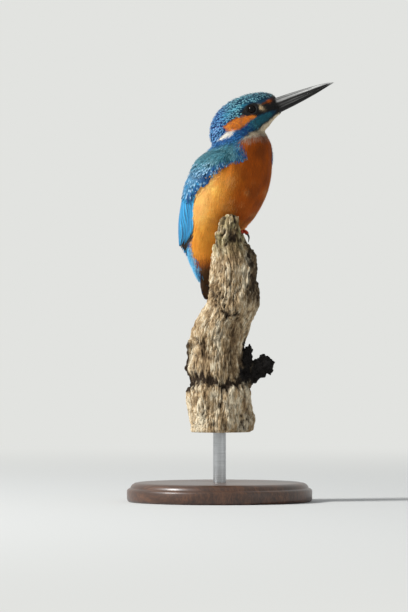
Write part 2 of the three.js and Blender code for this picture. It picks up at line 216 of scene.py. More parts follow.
# ----------------------------------------------------------------------------------------------------
# Perch
# A cut length of dead branch with its broken tip: bare grey-beige wood, split along the grain, with a
# ring of old bark left round it and a charred side shoot. It was sawn square below for the rod.
# ----------------------------------------------------------------------------------------------------
GRAIN_PITCH = 0.48  # size of the facets that the wood is carved in
PERCH_SIDE = np.array([[1, 1, 0], [-1, 1, 0]]) / math.sqrt(2)  # across the branch to its right, and back
AHEAD_OF_FEET, ABOVE_FEET = 8.7, 1.75
feet = [np.array(corner) / MM for name in ("foot_left", "foot_right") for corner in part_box(name)]
wings = [np.array(corner) / MM for name in ("wing_left", "wing_right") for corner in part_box(name)]
# The bird's own origin: on its midplane, a little ahead of the feet, at the ledge that they grip.
BIRD = np.array([
    np.mean([corner[0] for corner in feet]) + AHEAD_OF_FEET,
    np.mean([corner[1] for corner in wings]),
    np.mean([corner[2] for corner in feet]) + ABOVE_FEET,
])
# Lines in the charred wood, from that origin: across the branch, towards its back, and up.
SHOOT = [(-6, -1.5, -95), (3, -2.5, -89), (9.5, -3.5, -84), (17.2, -3.5, -80)]
SPLINTER = [(1, -3.5, -82), (2.8, -3.5, -69.2)]
# Lines along and on the branch, from that origin: across, and up.
BEND = [(-17, -120), (-16.4, -95), (-16.4, -67), (-13.5, -57), (-9, -48), (-7, -36), (-7, -22), (-9.4, -7)]
CRACK = [(-4.5, -50.6), (-10.6, -52.2), (-15, -47.5), (-20, -37.5), (-23.5, -30)]
SIDE_CRACK = [(-31.4, -66), (-29.6, -69.6), (-26.6, -69.4)]
FLAKE = [(-36.0, -100), (-34.8, -91.5), (-35.2, -83), (-33.8, -72), (-33.4, -67)]
FLAKE_THICK = 0.75
BARK_RING = -93.5  # height at which the old bark ends
KNOT = (-0.5, -117)  # a dark knot low on the front: across, and up
LEDGE_X = -8.9  # middle of the ledge, in the bird's own frame
LEDGE = [  # height, half length, half width
    (-11, 6.2, 7.6), (-7, 6.9, 8.4), (-3.5, 6.9, 8.6), (-1.5, 6.7, 8.3), (-0.6, 6.1, 7.6), (-0.2, 4.6, 6.2),
]
# Where the ledge is broken away on its right: height, and the most that x and y add up to there.
LEDGE_CUT = np.array([[-11, 4.5], [-7, 2.5], [-3.5, 0.2], [-0.2, -2.0]])


def fused(solids, facet, grown, extra):
    """One closed surface round the named solids and extra meshes, as points in millimetres and quads.
    Each solid is first grown a little, so that they meet."""
    whole = bmesh.new()
    for name in solids:
        part = bmesh.new()
        part.from_mesh(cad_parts[name].data)
        bmesh.ops.remove_doubles(part, verts=part.verts, dist=1e-6)
        part.normal_update()
        for corner in part.verts:
            corner.co += corner.normal * grown * MM
        carrier = bpy.data.meshes.new("carrier")
        part.to_mesh(carrier)
        part.free()
        whole.from_mesh(carrier)
        bpy.data.meshes.remove(carrier)
    for mesh in extra:
        whole.from_mesh(mesh)
    mesh = bpy.data.meshes.new("fused")
    whole.to_mesh(mesh)
    whole.free()
    holder = bpy.data.objects.new("fused", mesh)
    bpy.context.scene.collection.objects.link(holder)
    remesh = holder.modifiers.new("Remesh", "REMESH")
    remesh.mode, remesh.voxel_size = "VOXEL", facet * MM
    made = holder.evaluated_get(bpy.context.evaluated_depsgraph_get())
    surface = made.to_mesh()
    points = np.empty(len(surface.vertices) * 3, np.float32)
    surface.vertices.foreach_get("co", points)
    quads = np.empty(len(surface.loops), np.int32)
    surface.loops.foreach_get("vertex_index", quads)
    made.to_mesh_clear()
    bpy.data.objects.remove(holder)
    bpy.data.meshes.remove(mesh)
    return outermost(points.reshape(-1, 3).astype(float) / MM, quads.reshape(-1, 4))


def outermost(points, quads):
    """Keeps the largest connected surface and drops the shells shut inside it."""
    label = np.arange(len(points))
    while True:
        least = label[quads].min(1)
        fresh = label.copy()
        for corner in quads.T:
            np.minimum.at(fresh, corner, least)
        fresh = fresh[fresh]
        if (fresh == label).all():
            break
        label = fresh
    keep = label == np.bincount(label).argmax()
    return points[keep], (np.cumsum(keep) - 1)[quads[keep[quads[:, 0]]]]


def gathered(values, quads, count):
    """Adds each quad's value to its four corners."""
    index = quads.ravel()
    spread = np.repeat(values, 4, axis=0)
    return np.stack([np.bincount(index, spread[:, k], count) for k in range(3)], -1)


def unit(vectors):
    """The same directions at a length of 1."""
    return vectors / np.maximum(np.linalg.norm(vectors, axis=-1, keepdims=True), 1e-9)


def normals_of(points, quads):
    """Which way the surface faces at each of its points."""
    a, b, c, d = (points[quads[:, k]] for k in range(4))
    return unit(gathered(np.cross(c - a, d - b), quads, len(points)))


def relaxed(points, quads, rounds):
    """Smooths a surface: each point moves towards the middle of its neighbours, then part of the way back."""
    pairs = np.concatenate([quads[:, [k, (k + 1) % 4]] for k in range(4)])
    pairs = np.concatenate([pairs, pairs[:, ::-1]])
    degree = np.bincount(pairs[:, 0], minlength=len(points))[:, None]
    for _ in range(rounds):
        for share in (0.5, -0.46):
            around = np.stack(
                [np.bincount(pairs[:, 0], points[pairs[:, 1], k], len(points)) for k in range(3)], -1
            )
            points = points + share * (around / degree - points)
    return points


def wavy(points, across, along, seed):
    """Smooth noise from -1 to 1 over points, in waves to the millimetre across and along the grain."""
    at = points * np.array([across, across, along]) + seed * 7.31
    return np.fromiter((noise.noise(place) for place in at.tolist()), float, len(at))


def ramp(value, start, end):
    """0 before start and 1 past end, smooth between them. It falls where end is below start."""
    t = np.clip((value - start) / (end - start), 0, 1)
    return t * t * (3 - 2 * t)


def reach(points, path):
    """Distance from a line of straight stretches."""
    path = np.array(path, float)
    least = np.full(len(points), 1e9)
    for a, b in zip(path[:-1], path[1:]):
        share = np.clip((points - a) @ (b - a) / ((b - a) @ (b - a)), 0, 1)[:, None]
        least = np.minimum(least, np.linalg.norm(points - a - share * (b - a), axis=1))
    return least


def paint(mesh, name, colours):
    """Stores a colour at each of the mesh's points. A single value is stored as a grey."""
    layer = mesh.color_attributes.new(name, "FLOAT_COLOR", "POINT")
    rgba = np.ones((len(colours), 4), np.float32)
    rgba[:, :3] = colours if np.ndim(colours) == 2 else np.asarray(colours)[:, None]
    layer.data.foreach_set("color", rgba.ravel())


def painted(tree, name, output="Color"):
    """What is painted on the mesh under a name."""
    return step(tree, "Attribute", attribute_name=name).outputs[output]


def laid_over(tree, share, ground, colour):
    """One colour laid over another, by a share from 0 to 1."""
    return step(tree, "MixRGB", {"Fac": share, "Color1": ground, "Color2": colour}).outputs["Color"]


def bark_flake():
    """The thin curled edge of old bark that still stands off the branch's left side."""
    edges, heights = np.array(FLAKE).T
    top = heights[-1]
    rings = []
    for z in np.linspace(top, heights[0], 40):
        bulk = 0.55 + 0.45 * math.sin((z - top) * 1.35) + 0.5 * math.sin((z - top - 7) * 0.43)
        wide = 2.6 + 0.9 * bulk
        left, away = np.interp(z, heights, edges) - 0.5 - 0.9 * max(bulk, 0), -4.0
        ring = []
        for turn in np.arange(12) * 2 * np.pi / 12:
            sideways = PERCH_SIDE[0] * (left + FLAKE_THICK * math.cos(turn))
            outward = PERCH_SIDE[1] * (away + wide * math.sin(turn))
            ring.append(BIRD + sideways + outward + np.array([0, 0, z]))
        rings.append(ring)
    return tube("flake", rings[::-1])


def foothold():
    """The ledge behind the tip, up to the undersides of the toes, broken away on its right."""
    turns = np.arange(40) * 2 * np.pi / 40
    square = (np.abs(np.cos(turns)) ** 4 + np.abs(np.sin(turns)) ** 4) ** -0.25
    rings = []
    for z, long, wide in LEDGE:
        x, y = long * square * np.cos(turns) + LEDGE_X, wide * square * np.sin(turns)
        broken = np.maximum(x + y - np.interp(z, LEDGE_CUT[:, 0], LEDGE_CUT[:, 1]), 0) / 2
        rings.append(BIRD + np.stack([x - broken, y - broken, np.full(40, z)], -1))
    return tube("foothold", rings)


wood, wood_quads = fused(["perch_branch"], GRAIN_PITCH, 0, [bark_flake(), foothold()])
wood = relaxed(wood, wood_quads, 6)
out = normals_of(wood, wood_quads)
across, back = ((wood - BIRD) @ PERCH_SIDE.T).T
height = (wood - BIRD)[:, 2]
own = np.stack([across, back, height], -1)
front = ramp(-back, 0, 5)

# The broken tip, with a hollow scooped out of its front.
tip = ramp(height, -12, -4)
hollow = np.exp(-((across + 8) / 3.2) ** 2 - ((height + 3) / 2.8) ** 2) * ramp(-back, 6, 10)

# The charred shoot and its upright splinter, and painted shadow on the branch round the shoot's foot, worked
# rough like the char.
shoot, splinter = reach(own, SHOOT), reach(own, SPLINTER)
charred_and_shadowed = np.maximum(
    ramp(across, 1.5, 5.5) * ramp(shoot, 9.5, 6.5), ramp(splinter, 6.0, 3.6) * ramp(across, -4, -1)
)
shadowed_stub_foot = ramp(across, -8, -3) * ramp(np.abs(height + 84), 14, 9) * ramp(-back, -8, 0) * ramp(shoot, 14, 9)
charred_and_shadowed = np.clip(np.maximum(charred_and_shadowed, shadowed_stub_foot * (0.9 + 0.9 * wavy(own, 0.3, 0.15, 19))), 0, 1)

# The ring where the old bark ends, and the dark stretch on the right below the tip, partly rot and partly
# painted shade.
ring_at = BARK_RING + 1.5 * np.sin(across * 0.21 + 0.8) + 3.0 * wavy(own, 0.42, 0.05, 5)
ring_at += 1.8 * wavy(own, 1.1, 0.1, 15)
ring_wide = 2.3 + 3.2 * np.abs(wavy(own, 0.25, 0.02, 16))
ring = np.exp(-(((height - ring_at) / ring_wide) ** 2)) * (1 - charred_and_shadowed)
ring *= 0.6 + 0.4 * ramp(wavy(own, 0.2, 0.05, 17), -0.5, -0.05)
rot_and_shade = ramp(across + 3 * wavy(own, 0.25, 0.1, 18), -2, 3)
rot_and_shade *= ramp(height + 5 * wavy(own, 0.2, 0.1, 27), -48, -34)
rot_and_shade *= ramp(height, -3, -9) * (0.72 + 0.5 * wavy(own, 0.3, 0.2, 28))

# An old tongue of wood ends in a crack over the wood below it. A short crack opens lower on the left.
flat = own * [1, 0, 1]
crack = reach(flat + 0.9 * wavy(own, 0.35, 0.35, 29)[:, None], [(x, 0, z) for x, z in CRACK])
crack = np.minimum(crack, reach(flat, [(x, 0, z) for x, z in SIDE_CRACK]) + 0.25)
broken = wavy(own, 0.45, 0.3, 30)
crease = front * np.exp(-((crack / (0.75 + 1.1 * np.abs(broken))) ** 2)) * ramp(broken, -0.75, -0.15)
edge_across, edge_height = np.array(CRACK[1:]).T
right_of_it = ramp(across - np.interp(height, edge_height, edge_across), -0.4, 0.4)
tongue = front * right_of_it * ramp(height, -52.8, -51.6) * ramp(crack, 9, 1)

# The grain follows the branch's bend, and its fibres fray.
bend_across, bend_height = np.array(BEND).T
bent = own.copy()
bent[:, 0] -= np.interp(height, bend_height, bend_across)
frayed = bent + wavy(own, 0.25, 0.12, 34)[:, None] * [1.6, 1.6, 14]
fibre = 0.35 * wavy(frayed, 1.15, 0.08, 1) + 1.5 * np.abs(wavy(frayed, 0.9, 0.06, 2)) - 0.3
split_lines = np.abs(wavy(bent, 0.3, 0.022, 3)) + 0.35 * np.abs(wavy(bent, 0.9, 0.06, 4))
splits = ramp(split_lines, 0.1, 0.02)
checks = ramp(np.abs(wavy(bent, 0.62, 0.04, 8)), 0.07, 0.01)
checks += 0.8 * ramp(np.abs(wavy(frayed, 1.0, 0.07, 33)), 0.12, 0.02)
lumps = wavy(own, 0.13, 0.07, 6)
pits = wavy(own, 0.42, 0.34, 7)
ragged = wavy(own, 0.36, 0.36, 9) + 0.6 * wavy(own, 0.8, 0.8, 10)
knobs = wavy(own, 0.24, 0.16, 13)
crumbs = wavy(own, 0.85, 0.34, 23)
crumbled = np.clip(tip + 0.35 + 0.35 * tongue + 0.9 * wavy(own, 0.1, 0.06, 25), 0.15, 1)
ledges = np.floor(3.5 * wavy(own, 0.3, 0.2, 42)) / 3.5

# How far each point stands out or is cut in. The sawn end and the drilled hole stay plain.
depth = 0.55 * fibre + (1.2 * lumps + 0.7 * knobs) * (1 - 0.5 * tip) - 1.1 * splits - 0.5 * checks
depth += 0.3 * pits
depth += crumbled * (0.7 * crumbs - 0.4 * ramp(crumbs, -0.2, -0.5))
depth += (
    1.1 * tip * ledges + 0.4 * tip * pits - 2.2 * hollow - 1.6 * ring
    + 0.6 * ramp(height, ring_at - 1, ring_at - 3)
)
depth += rot_and_shade * (0.9 * pits + 0.5 * fibre)
depth += 1.2 * tongue - 1.7 * crease + 0.8 * front * ramp(crack, 6, 1) * crumbs
depth -= 2.0 * ramp(across, -27, -35) * ramp(height, -84, -92) * ramp(height, -122, -108)
depth = depth * (1 - charred_and_shadowed) + charred_and_shadowed * (1.7 * ragged - 0.2)
underfoot = np.abs(wood - BIRD - [LEDGE_X, 0, -1.5])
held = ramp(underfoot[:, 0], 9, 6.5) * ramp(underfoot[:, 1], 10.5, 8) * ramp(underfoot[:, 2], 7, 3)
depth = depth * (1 - held) + held * (0.25 * fibre + 0.25 * pits)
sawn = ramp(height, height.min() + 0.4, height.min() + 1.6)
drilled = (np.linalg.norm(wood[:, :2], axis=1) < ROD_R + 0.9) & (wood[:, 2] < rod_high[2] + 1)
depth = np.where(drilled, 0, depth * sawn)
wood = wood + out * depth[:, None]

# What the finish reads: how charred and how grimy the wood is, with painted shade and painted shadow in both,
# how pale it is, how its grain lies, and its algae.
old_bark = ramp(height, ring_at - 0.5, ring_at + 0.5)
pale = 0.45 + 0.4 * wavy(own, 0.12, 0.05, 11) + 0.35 * wavy(own, 0.4, 0.14, 12)
pale = pale + 0.12 * (1 - old_bark) + 0.35 * fibre
flake = ramp(across, -34.4, -35.6) * ramp(height, -101, -98) * ramp(height, -64, -68)
# Painted shade on the wood just above the bark ring.
shade_above_ring = 0.75 * old_bark * ramp(height, ring_at + 7 + 9 * wavy(own, 0.28, 0.05, 26), ring_at - 1)
# Darker with painted shade in the crack and round it, in the splits, checks, pits and low knobs, in the
# hollow and the bark ring's groove, and down the right side. The bark flake is dark in its own colour.
grime_and_shade = (
    0.6 * crease + 0.3 * front * ramp(crack, 3.5, 0.5) * ramp(crumbs, 0.1, -0.3) + 0.6 * splits
    + 0.35 * checks + 0.95 * ring + 0.9 * hollow + 0.85 * rot_and_shade + 0.9 * flake
)
grime_and_shade += (
    0.45 * crumbled * ramp(crumbs, -0.15, -0.45) + shade_above_ring + 0.4 * ramp(across + 4 * pits, 4, 13) * (1 - tip)
    + 0.3 * ramp(knobs, -0.05, -0.45) + 0.3 * ramp(pits, -0.05, -0.4) + 0.3 * tip * ramp(pits, 0.1, -0.3)
)
knot = np.exp(-((across - KNOT[0]) / 4) ** 2 - ((height - KNOT[1]) / 4) ** 2)
grime_and_shade = np.clip(grime_and_shade + 0.9 * knot * (0.6 + ragged), 0, 1)
algae = np.clip(ramp(height, -20, -4) * (0.6 + 0.9 * wavy(own, 0.22, 0.18, 24)), 0, 1)
perch_mesh = mesh_of("perch", wood, wood_quads)
paint(perch_mesh, "wood_marks", np.stack([np.clip(charred_and_shadowed, 0, 1), grime_and_shade, np.clip(pale, 0, 1)], -1))
paint(perch_mesh, "grain_place", bent * MM)
paint(perch_mesh, "algae", algae)

deadwood, tree, shader = new_finish("weathered_wood", Roughness=0.88, Specular_IOR_Level=0.25)
marks = step(tree, "SeparateColor", {"Color": painted(tree, "wood_marks")})
place = painted(tree, "grain_place", "Vector")
fibres = grain(tree, (1500, 1500), 130, 8, 0.78, place)
mottle = grain(tree, (620, 620), 230, 7, 0.75, place)
tone = laid_over(tree, 0.4, scaled(tree, fibres, 0.34, 0.66), scaled(tree, mottle, 0.34, 0.66))
tone = worked(tree, "MULTIPLY", worked(tree, "ADD", tone, marks.outputs["Blue"]), 0.52)
timber = stained(
    tree, tone, (0.16, tint(56, 41, 27)), (0.34, tint(134, 108, 76)),
    (0.52, tint(198, 170, 130)), (0.7, tint(250, 234, 202)),
)
green_film = painted(tree, "algae", "Fac")
olive = stained(tree, tone, (0.18, tint(58, 50, 28)), (0.45, tint(144, 128, 84)), (0.7, tint(218, 204, 156)))
timber = laid_over(tree, green_film, timber, olive)
# Laid over the timber: the grime with its painted shade, then the char with the painted shadow at the shoot's
# foot.
dirty_and_shaded = laid_over(tree, marks.outputs["Green"], timber, tint(52, 40, 28))
burnt_and_shadowed = laid_over(tree, marks.outputs["Red"], dirty_and_shaded, tint(22, 19, 17))
tree.links.new(burnt_and_shadowed, shader.inputs["Base Color"])
relief(tree, shader, fibres, 0.9, 0.6)
fit("perch", perch_mesh, "dead_wood", deadwood, "perch_branch")

# ----------------------------------------------------------------------------------------------------
# Skin
# The bird's flesh under its feathers: one closed surface over head, neck, body and wings, with a fold
# of bare lid round each eye. It carries the markings, so that none shows bare between the feathers.
# ----------------------------------------------------------------------------------------------------
SKIN_FACET = 0.65  # size of the facets that the skin is made in
FUSING = 0.35  # how far the solids are grown so that they meet
SKIN_PAINTED_SHADE = 0.75  # painted shade: the skin is darker than the feathers over it, as it lies in their shade
HEAD_LIFT = 21  # degrees that the bill is raised
LID_RING, LID_THICK, LID_OUT = 3.15, 0.42, 1.35
SOCKET_RIM, SOCKET_WALL, SOCKET_DEEP = 3.0, 2.55, 1.8
# The body: height, back, breast, half width.
BODY = np.array([
    [67, -15, 10, 12.5], [56, -20.8, 16.2, 18], [47, -29.4, 16.2, 22], [33, -36.4, 14, 24.2],
    [20.6, -40.8, 8.6, 23.8], [8, -44.8, -1, 21.2], [-8, -46.8, -18.6, 15.2], [-20, -43.4, -22.8, 11.2],
    [-34, -34.2, -30, 6],
])[::-1]
# Where blue gives way to orange: height, degrees round from the breast.
BLUE_EDGE = np.array([
    [66, 78], [61, 62], [57, 46], [53, 40], [50.5, 34], [48.5, 34], [47.3, 46], [46.3, 58], [44, 66],
    [41, 72], [36.6, 80], [33, 85], [31, 95], [23, 110], [19, 111], [11, 102], [5.5, 98], [0, 94],
    [-5, 95], [-9, 91], [-14, 82], [-18, 75], [-34, 72],
])[::-1]
# Bands along each side of the head, front end first: ahead of the eyes, above them, half width.
EYE_STREAK = [(-0.5, 4.4, 0.5), (-8, 3.9, 1.0), (-17, 2.4, 1.2)]
MALAR = [
    (11, -6.0, 1.2), (9, -6.9, 1.6), (2.2, -8.4, 2.8), (-9.8, -11.7, 3.1), (-16.5, -12.7, 3.2),
    (-32, -15, 4.5),
]
EAR = [
    (2.4, -4.7, 0.3), (-1.4, -4.2, 1.1), (-5, -4.8, 2.3), (-9, -4.8, 3.3), (-14, -5.0, 3.0),
    (-17.5, -4.8, 1.9),
]
NECK_SIDE = [(-13.2, -8.9, 0.9), (-17, -8.7, 1.6), (-22, -8.7, 1.1), (-26, -8.9, 0.5)]
# Where the malar stripe gives way to the throat, back end first.
THROAT_EDGE = np.array([
    [-30, -19], [-16.5, -16], [-10, -14.9], [2, -11.3], [9, -8.6], [14, -7.0], [17, -5.0],
])
BILL_SEAT = [  # ahead of the eyes, half width, top, underside
    (8, 4.9, 3.3, -7.8), (11, 5.0, 3.4, -7.9), (13.5, 4.8, 3.2, -7.8), (14.8, 4.5, 2.9, -7.6),
]
eyes = {
    side: sum(np.array(corner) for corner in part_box("eye_" + side)) / 2 / MM for side in ("left", "right")
}
# The head's own frame, from the middle between the eyes: ahead along the bill, to the left, and up.
HEAD = (eyes["left"] + eyes["right"]) / 2
eye_axis = unit(eyes["left"] - eyes["right"])
level = np.cross(eye_axis, [0, 0, 1])
lift = math.radians(HEAD_LIFT)
bill_axis = math.cos(lift) * level + math.sin(lift) * np.array([0, 0, 1])
HEAD_AXES = np.stack([bill_axis, eye_axis, np.cross(bill_axis, eye_axis)])
# Which way each eye looks: to its side, and a little ahead and up.
EYE_LOOK = {
    side: unit(np.array([0.22, sign, 0.04])) @ HEAD_AXES for side, sign in (("left", 1), ("right", -1))
}


def round_eye(side):
    """Two directions square to each other and to the way the eye looks."""
    one = unit(np.cross(EYE_LOOK[side], HEAD_AXES[2]))
    return one, np.cross(EYE_LOOK[side], one)


def eye_ring(name, side, steps, around, radius, out, thick):
    """A soft ring that lies on the eyeball and frames it. thick says how thick it is at each turn."""
    one, two = round_eye(side)
    points = []
    for turn in np.arange(steps) * 2 * np.pi / steps:
        spoke = math.cos(turn) * one + math.sin(turn) * two
        for a in np.arange(around) * 2 * np.pi / around:
            onward, outward = out + thick(turn) * math.sin(a), radius + thick(turn) * math.cos(a)
            points.append(eyes[side] + EYE_LOOK[side] * onward + spoke * outward)
    return mesh_of(name, points, rows_joined(steps + 1, around, True)[:, [0, 3, 2, 1]] % (steps * around))


def bill_seat():
    """The root of the bill inside the face, so that the skin closes round it."""
    turns = np.arange(28) * 2 * np.pi / 28
    rings = []
    for x, half, high, low in BILL_SEAT:
        up = (high + low) / 2 + (high - low) / 2 * np.sin(turns)
        rings.append(HEAD + np.stack([np.full(28, x), half * np.cos(turns), up], -1) @ HEAD_AXES)
    return tube("bill_seat", rings)


def in_head(points):
    """Points in the head's own frame: ahead of the eyes, to the left, and up."""
    return (points - HEAD) @ HEAD_AXES.T


def round_body(points):
    """How far round from the breast each point lies, in degrees, by the body's section at its height."""
    at = points - BIRD
    back, breast, half = (np.interp(at[:, 2], BODY[:, 0], BODY[:, k]) for k in (1, 2, 3))
    angle = np.arctan2(np.abs(at[:, 1]) / half, (at[:, 0] - (back + breast) / 2) / ((breast - back) / 2))
    return np.degrees(angle)


PLUMAGE = {name: tint(*colour) for name, colour in {
    # Head.
    "crown": (16, 62, 88), "crown_spot": (164, 234, 244), "nape": (22, 60, 118), "nape_spot": (124, 188, 236),
    "streak": (84, 178, 205), "ear": (250, 150, 74), "rufous": (186, 96, 44), "cream": (232, 205, 165),
    "white": (240, 234, 224), "lore": (16, 16, 16), "lid": (15, 14, 14), "throat": (238, 222, 194),
    "malar_front": (44, 104, 120), "malar_back": (38, 86, 140),
    "malar_spot": (86, 166, 180), "malar_spot_back": (96, 158, 222),
    # Breast and belly. The breast is darker than its own deep orange with painted shade, and the flanks
    # lighter than their own paler orange with painted light.
    "breast": (184, 92, 34), "flank": (255, 184, 92), "flank_pale": (255, 214, 150),
    "belly": (252, 172, 82), "undertail": (172, 98, 48),
    # Back, wings and tail.
    "mantle": (64, 118, 132), "mantle_spot": (128, 182, 194), "azure": (74, 172, 222),
    "azure_pale": (150, 214, 238), "coverts": (78, 128, 166), "covert_spot": (164, 204, 226),
    "quill_blue": (68, 144, 196), "quill_brown": (46, 34, 27), "quill_under": (92, 66, 42),
    "tail_blue": (34, 88, 150),
}.items()}


def lay(ground, share, name):
    """Lays a named colour over the ground, by a share at each point."""
    return ground + share[:, None] * (PLUMAGE[name] - ground)


def band(x, z, line):
    """1 inside a band along a line of (x, z, half width) points."""
    line = np.array(line, float)[::-1]
    middle, width = (np.interp(x, line[:, 0], line[:, k]) for k in (1, 2))
    ends = ramp(x, line[0, 0] - 0.8, line[0, 0] + 0.6) * ramp(x, line[-1, 0] + 0.6, line[-1, 0] - 0.6)
    return ends * ramp(np.abs(z - middle), width + 0.5, width - 0.3)


def body_colours(points, turn, z, blue, edge):
    """Deep orange breast, brighter flanks, paler low belly, and a blue-green back with an azure stripe."""
    colour = np.tile(PLUMAGE["breast"], (len(points), 1))
    mottle = wavy(points, 0.13, 0.06, 31)
    colour = lay(colour, ramp(turn + 12 * mottle, 20, 78) * ramp(z + 4 * mottle, 54, 32), "flank")
    colour = lay(colour, 0.4 * ramp(turn, 62, 88) * ramp(z, 46, 36) * ramp(z, 2, 20), "flank_pale")
    colour = lay(colour, ramp(z, 14, 0), "belly")
    colour = lay(colour, ramp(z, -8, -16), "undertail")
    streaks = wavy(points, 0.5, 0.12, 36)
    # Darker mottles over the breast front, partly its own colour and partly painted shade.
    dusky_and_shaded = ramp(wavy(points, 0.17, 0.09, 37), 0.0, 0.4) * ramp(turn, 75, 40) * ramp(z, 0, 8)
    tufts = wavy(points, 0.33, 0.11, 41)
    colour = colour * (1 + 0.22 * streaks + 0.2 * tufts - 0.3 * dusky_and_shaded)[:, None]
    light = ramp(wavy(points, 0.34, 0.13, 38), 0.22, 0.5) * ramp(turn, 80, 45)
    light = light * ramp(z, 48, 38) * ramp(z, 4, 12)
    colour = lay(colour, 0.18 * light, "flank_pale")
    colour = lay(colour, blue, "mantle")
    colour = lay(colour, blue * ramp(z, 46, 38) * 0.8, "coverts")
    colour = colour * (1 + 0.28 * blue * wavy(points, 0.55, 0.14, 40))[:, None]
    stripe = np.maximum(ramp(turn, 158, 165) * ramp(z, 56, 46), ramp(z, 4, -6))
    colour = lay(colour, blue * stripe, "azure")
    return lay(colour, blue * ramp(z, 62, 54) * ramp(turn, edge + 20, edge + 5), "malar_back")


def head_colours(points, head, z, colour):
    """Blue down to the broad malar stripe, buff throat below it, and the face's small patches. Gives the
    colours, where the head is, and how blue it is there."""
    x, up, side = head[:, 0], head[:, 2], np.abs(head[:, 1])
    on_head = ramp(z - 0.25 * np.minimum(x, 0), 60.5, 63)
    lateral = on_head * ramp(side, 3.0, 5.0)
    low = np.interp(x, THROAT_EDGE[:, 0], THROAT_EDGE[:, 1])
    chin = on_head * np.maximum(ramp(up, low + 0.4, low - 0.4), ramp(up, -8, -10) * ramp(side, 5, 3.5))
    chin = chin * ramp(x, -20, -16)

    # Crown and nape, with a pale streak over the ear, and the malar stripe below it.
    colour = lay(colour, on_head, "crown")
    colour = lay(colour, on_head * ramp(x, -9, -22), "nape")
    colour = lay(colour, lateral * band(x, up, EYE_STREAK) * 0.4, "streak")
    malar = band(x, up, MALAR)
    colour = lay(colour, lateral * malar, "malar_front")
    colour = lay(colour, lateral * malar * ramp(x, 1, -5), "malar_back")
    colour = colour * (1 + 0.4 * lateral * malar * wavy(points, 0.8, 0.8, 32))[:, None]

    # Black lores before the eye and round the bill's root, and the throat with its dark upper edge.
    colour = lay(colour, on_head * ramp(x, -1.0, 1.0) * ramp(np.abs(up + 1.6), 3.6, 2.6), "lore")
    colour = lay(colour, on_head * ramp(x, 12.6, 14.6), "lore")
    colour = lay(colour, chin, "throat")
    border = np.exp(-(((up - low - 0.2) / 0.8) ** 2)) * ramp(x, -12, -5) * ramp(side, 1.5, 3)
    colour = lay(colour, 0.8 * on_head * border, "lore")

    # Orange behind the eye, white on the side of the neck, rufous and cream before the eye.
    ear = band(x, up, EAR)
    ear = ear * (1 - 0.45 * ramp(wavy(points, 0.6, 0.6, 33), 0.0, 0.45) * ramp(x, -2, -8))
    colour = lay(colour, lateral * ear, "ear")
    colour = colour * (1 + 0.45 * lateral * ear * wavy(head * [0.3, 1, 1], 0.8, 0.8, 39))[:, None]
    neck = band(x, up, NECK_SIDE)
    colour = lay(colour, lateral * neck, "white")
    rufous = np.exp(-(((x - 12.6) / 1.1) ** 2) - ((up - 1.1) / 1.0) ** 2)
    rufous += 0.35 * np.exp(-(((x - 9.6) / 1.4) ** 2) - ((up - 0.9) / 0.5) ** 2)
    rufous = rufous * on_head * ramp(side, 1.6, 2.8)
    colour = lay(colour, np.clip(rufous * 1.5, 0, 1), "rufous")
    cream = lateral * np.exp(-(((x - 6.9 + 0.3 * (up + 0.7)) / 1.25) ** 2) - ((up + 0.9) / 1.9) ** 2)
    cream = cream * (1 - 0.45 * ramp(wavy(points, 1.1, 1.1, 34), 0.0, 0.4))
    colour = lay(colour, np.clip(cream * 1.35, 0, 1), "cream")

    # Black lids, drawn out to a corner before and behind the eye.
    for s in eyes:
        off = points - eyes[s]
        almond = np.hypot((off @ HEAD_AXES[0] - 0.3) / 5.0, off @ HEAD_AXES[2] / 3.5)
        colour = lay(colour, ramp(almond, 1.08, 0.9) * (off @ EYE_LOOK[s] > 0), "lid")
    return colour, on_head, on_head * (1 - chin) - lateral * (ear + neck) - cream - rufous


def markings(points, only=None):
    """The bird's own colours at points on its coat, and how blue (glossy) each place is. only holds the body
    to its orange (0) or its blue (1), for feathers that grow on one side of the line between them."""
    points = points + 0.5 * np.stack([wavy(points, 0.5, 0.5, 20 + k) for k in range(3)], -1)
    z, turn = (points - BIRD)[:, 2], round_body(points)
    edge = np.interp(z, BLUE_EDGE[:, 0], BLUE_EDGE[:, 1])
    blue = ramp(turn, edge - 1.2, edge + 1.2) if only is None else np.full(len(points), float(only))
    colour = body_colours(points, turn, z, blue, edge)
    colour, on_head, head_blue = head_colours(points, in_head(points), z, colour)
    colour = lay(colour, (1 - on_head) * (1 - blue) * ramp(z, -13, -20), "quill_under")
    return colour, np.clip(np.where(on_head > 0.5, head_blue, blue), 0, 1)


def coat_depth(points):
    """How deep the plumage lies over the flesh: thin on the face, thick on breast and flanks."""
    x = in_head(points)[:, 0]
    deep = 0.1 + 0.25 * ramp(x, 14, 10) + 0.35 * ramp(x, 10, -6) + 0.35 * ramp((points - BIRD)[:, 2], 64, 50)
    eye = np.minimum(*(np.linalg.norm(points - eyes[s], axis=1) for s in eyes))
    return deep * ramp(eye, 3.9, 6.0)


flesh = ["head", "neck", "trunk", "wing_left", "wing_right"]
lids = [eye_ring("lid_" + side, side, 36, 10, LID_RING, LID_OUT, lambda turn: LID_THICK) for side in eyes]
skin, skin_quads = fused(flesh, SKIN_FACET, FUSING, [bill_seat(), *lids])
skin = relaxed(skin, skin_quads, 6)
sunk = coat_depth(skin)
skin = skin - normals_of(skin, skin_quads) * (FUSING * ramp(sunk, 0, 0.2) + sunk)[:, None]
skin = relaxed(skin, skin_quads, 4)
for side in eyes:  # the socket, sunk so that the ball shows between the lids
    ahead = (skin - eyes[side]) @ EYE_LOOK[side]
    off_axis = np.linalg.norm(skin - eyes[side] - ahead[:, None] * EYE_LOOK[side], axis=1)
    in_socket = ramp(off_axis, SOCKET_RIM, SOCKET_WALL) * (ahead > 0.2)
    skin = skin - (SOCKET_DEEP * in_socket)[:, None] * EYE_LOOK[side]
skin_normals = normals_of(relaxed(skin, skin_quads, 8), skin_quads)
skin_mesh = mesh_of("skin", skin, skin_quads)
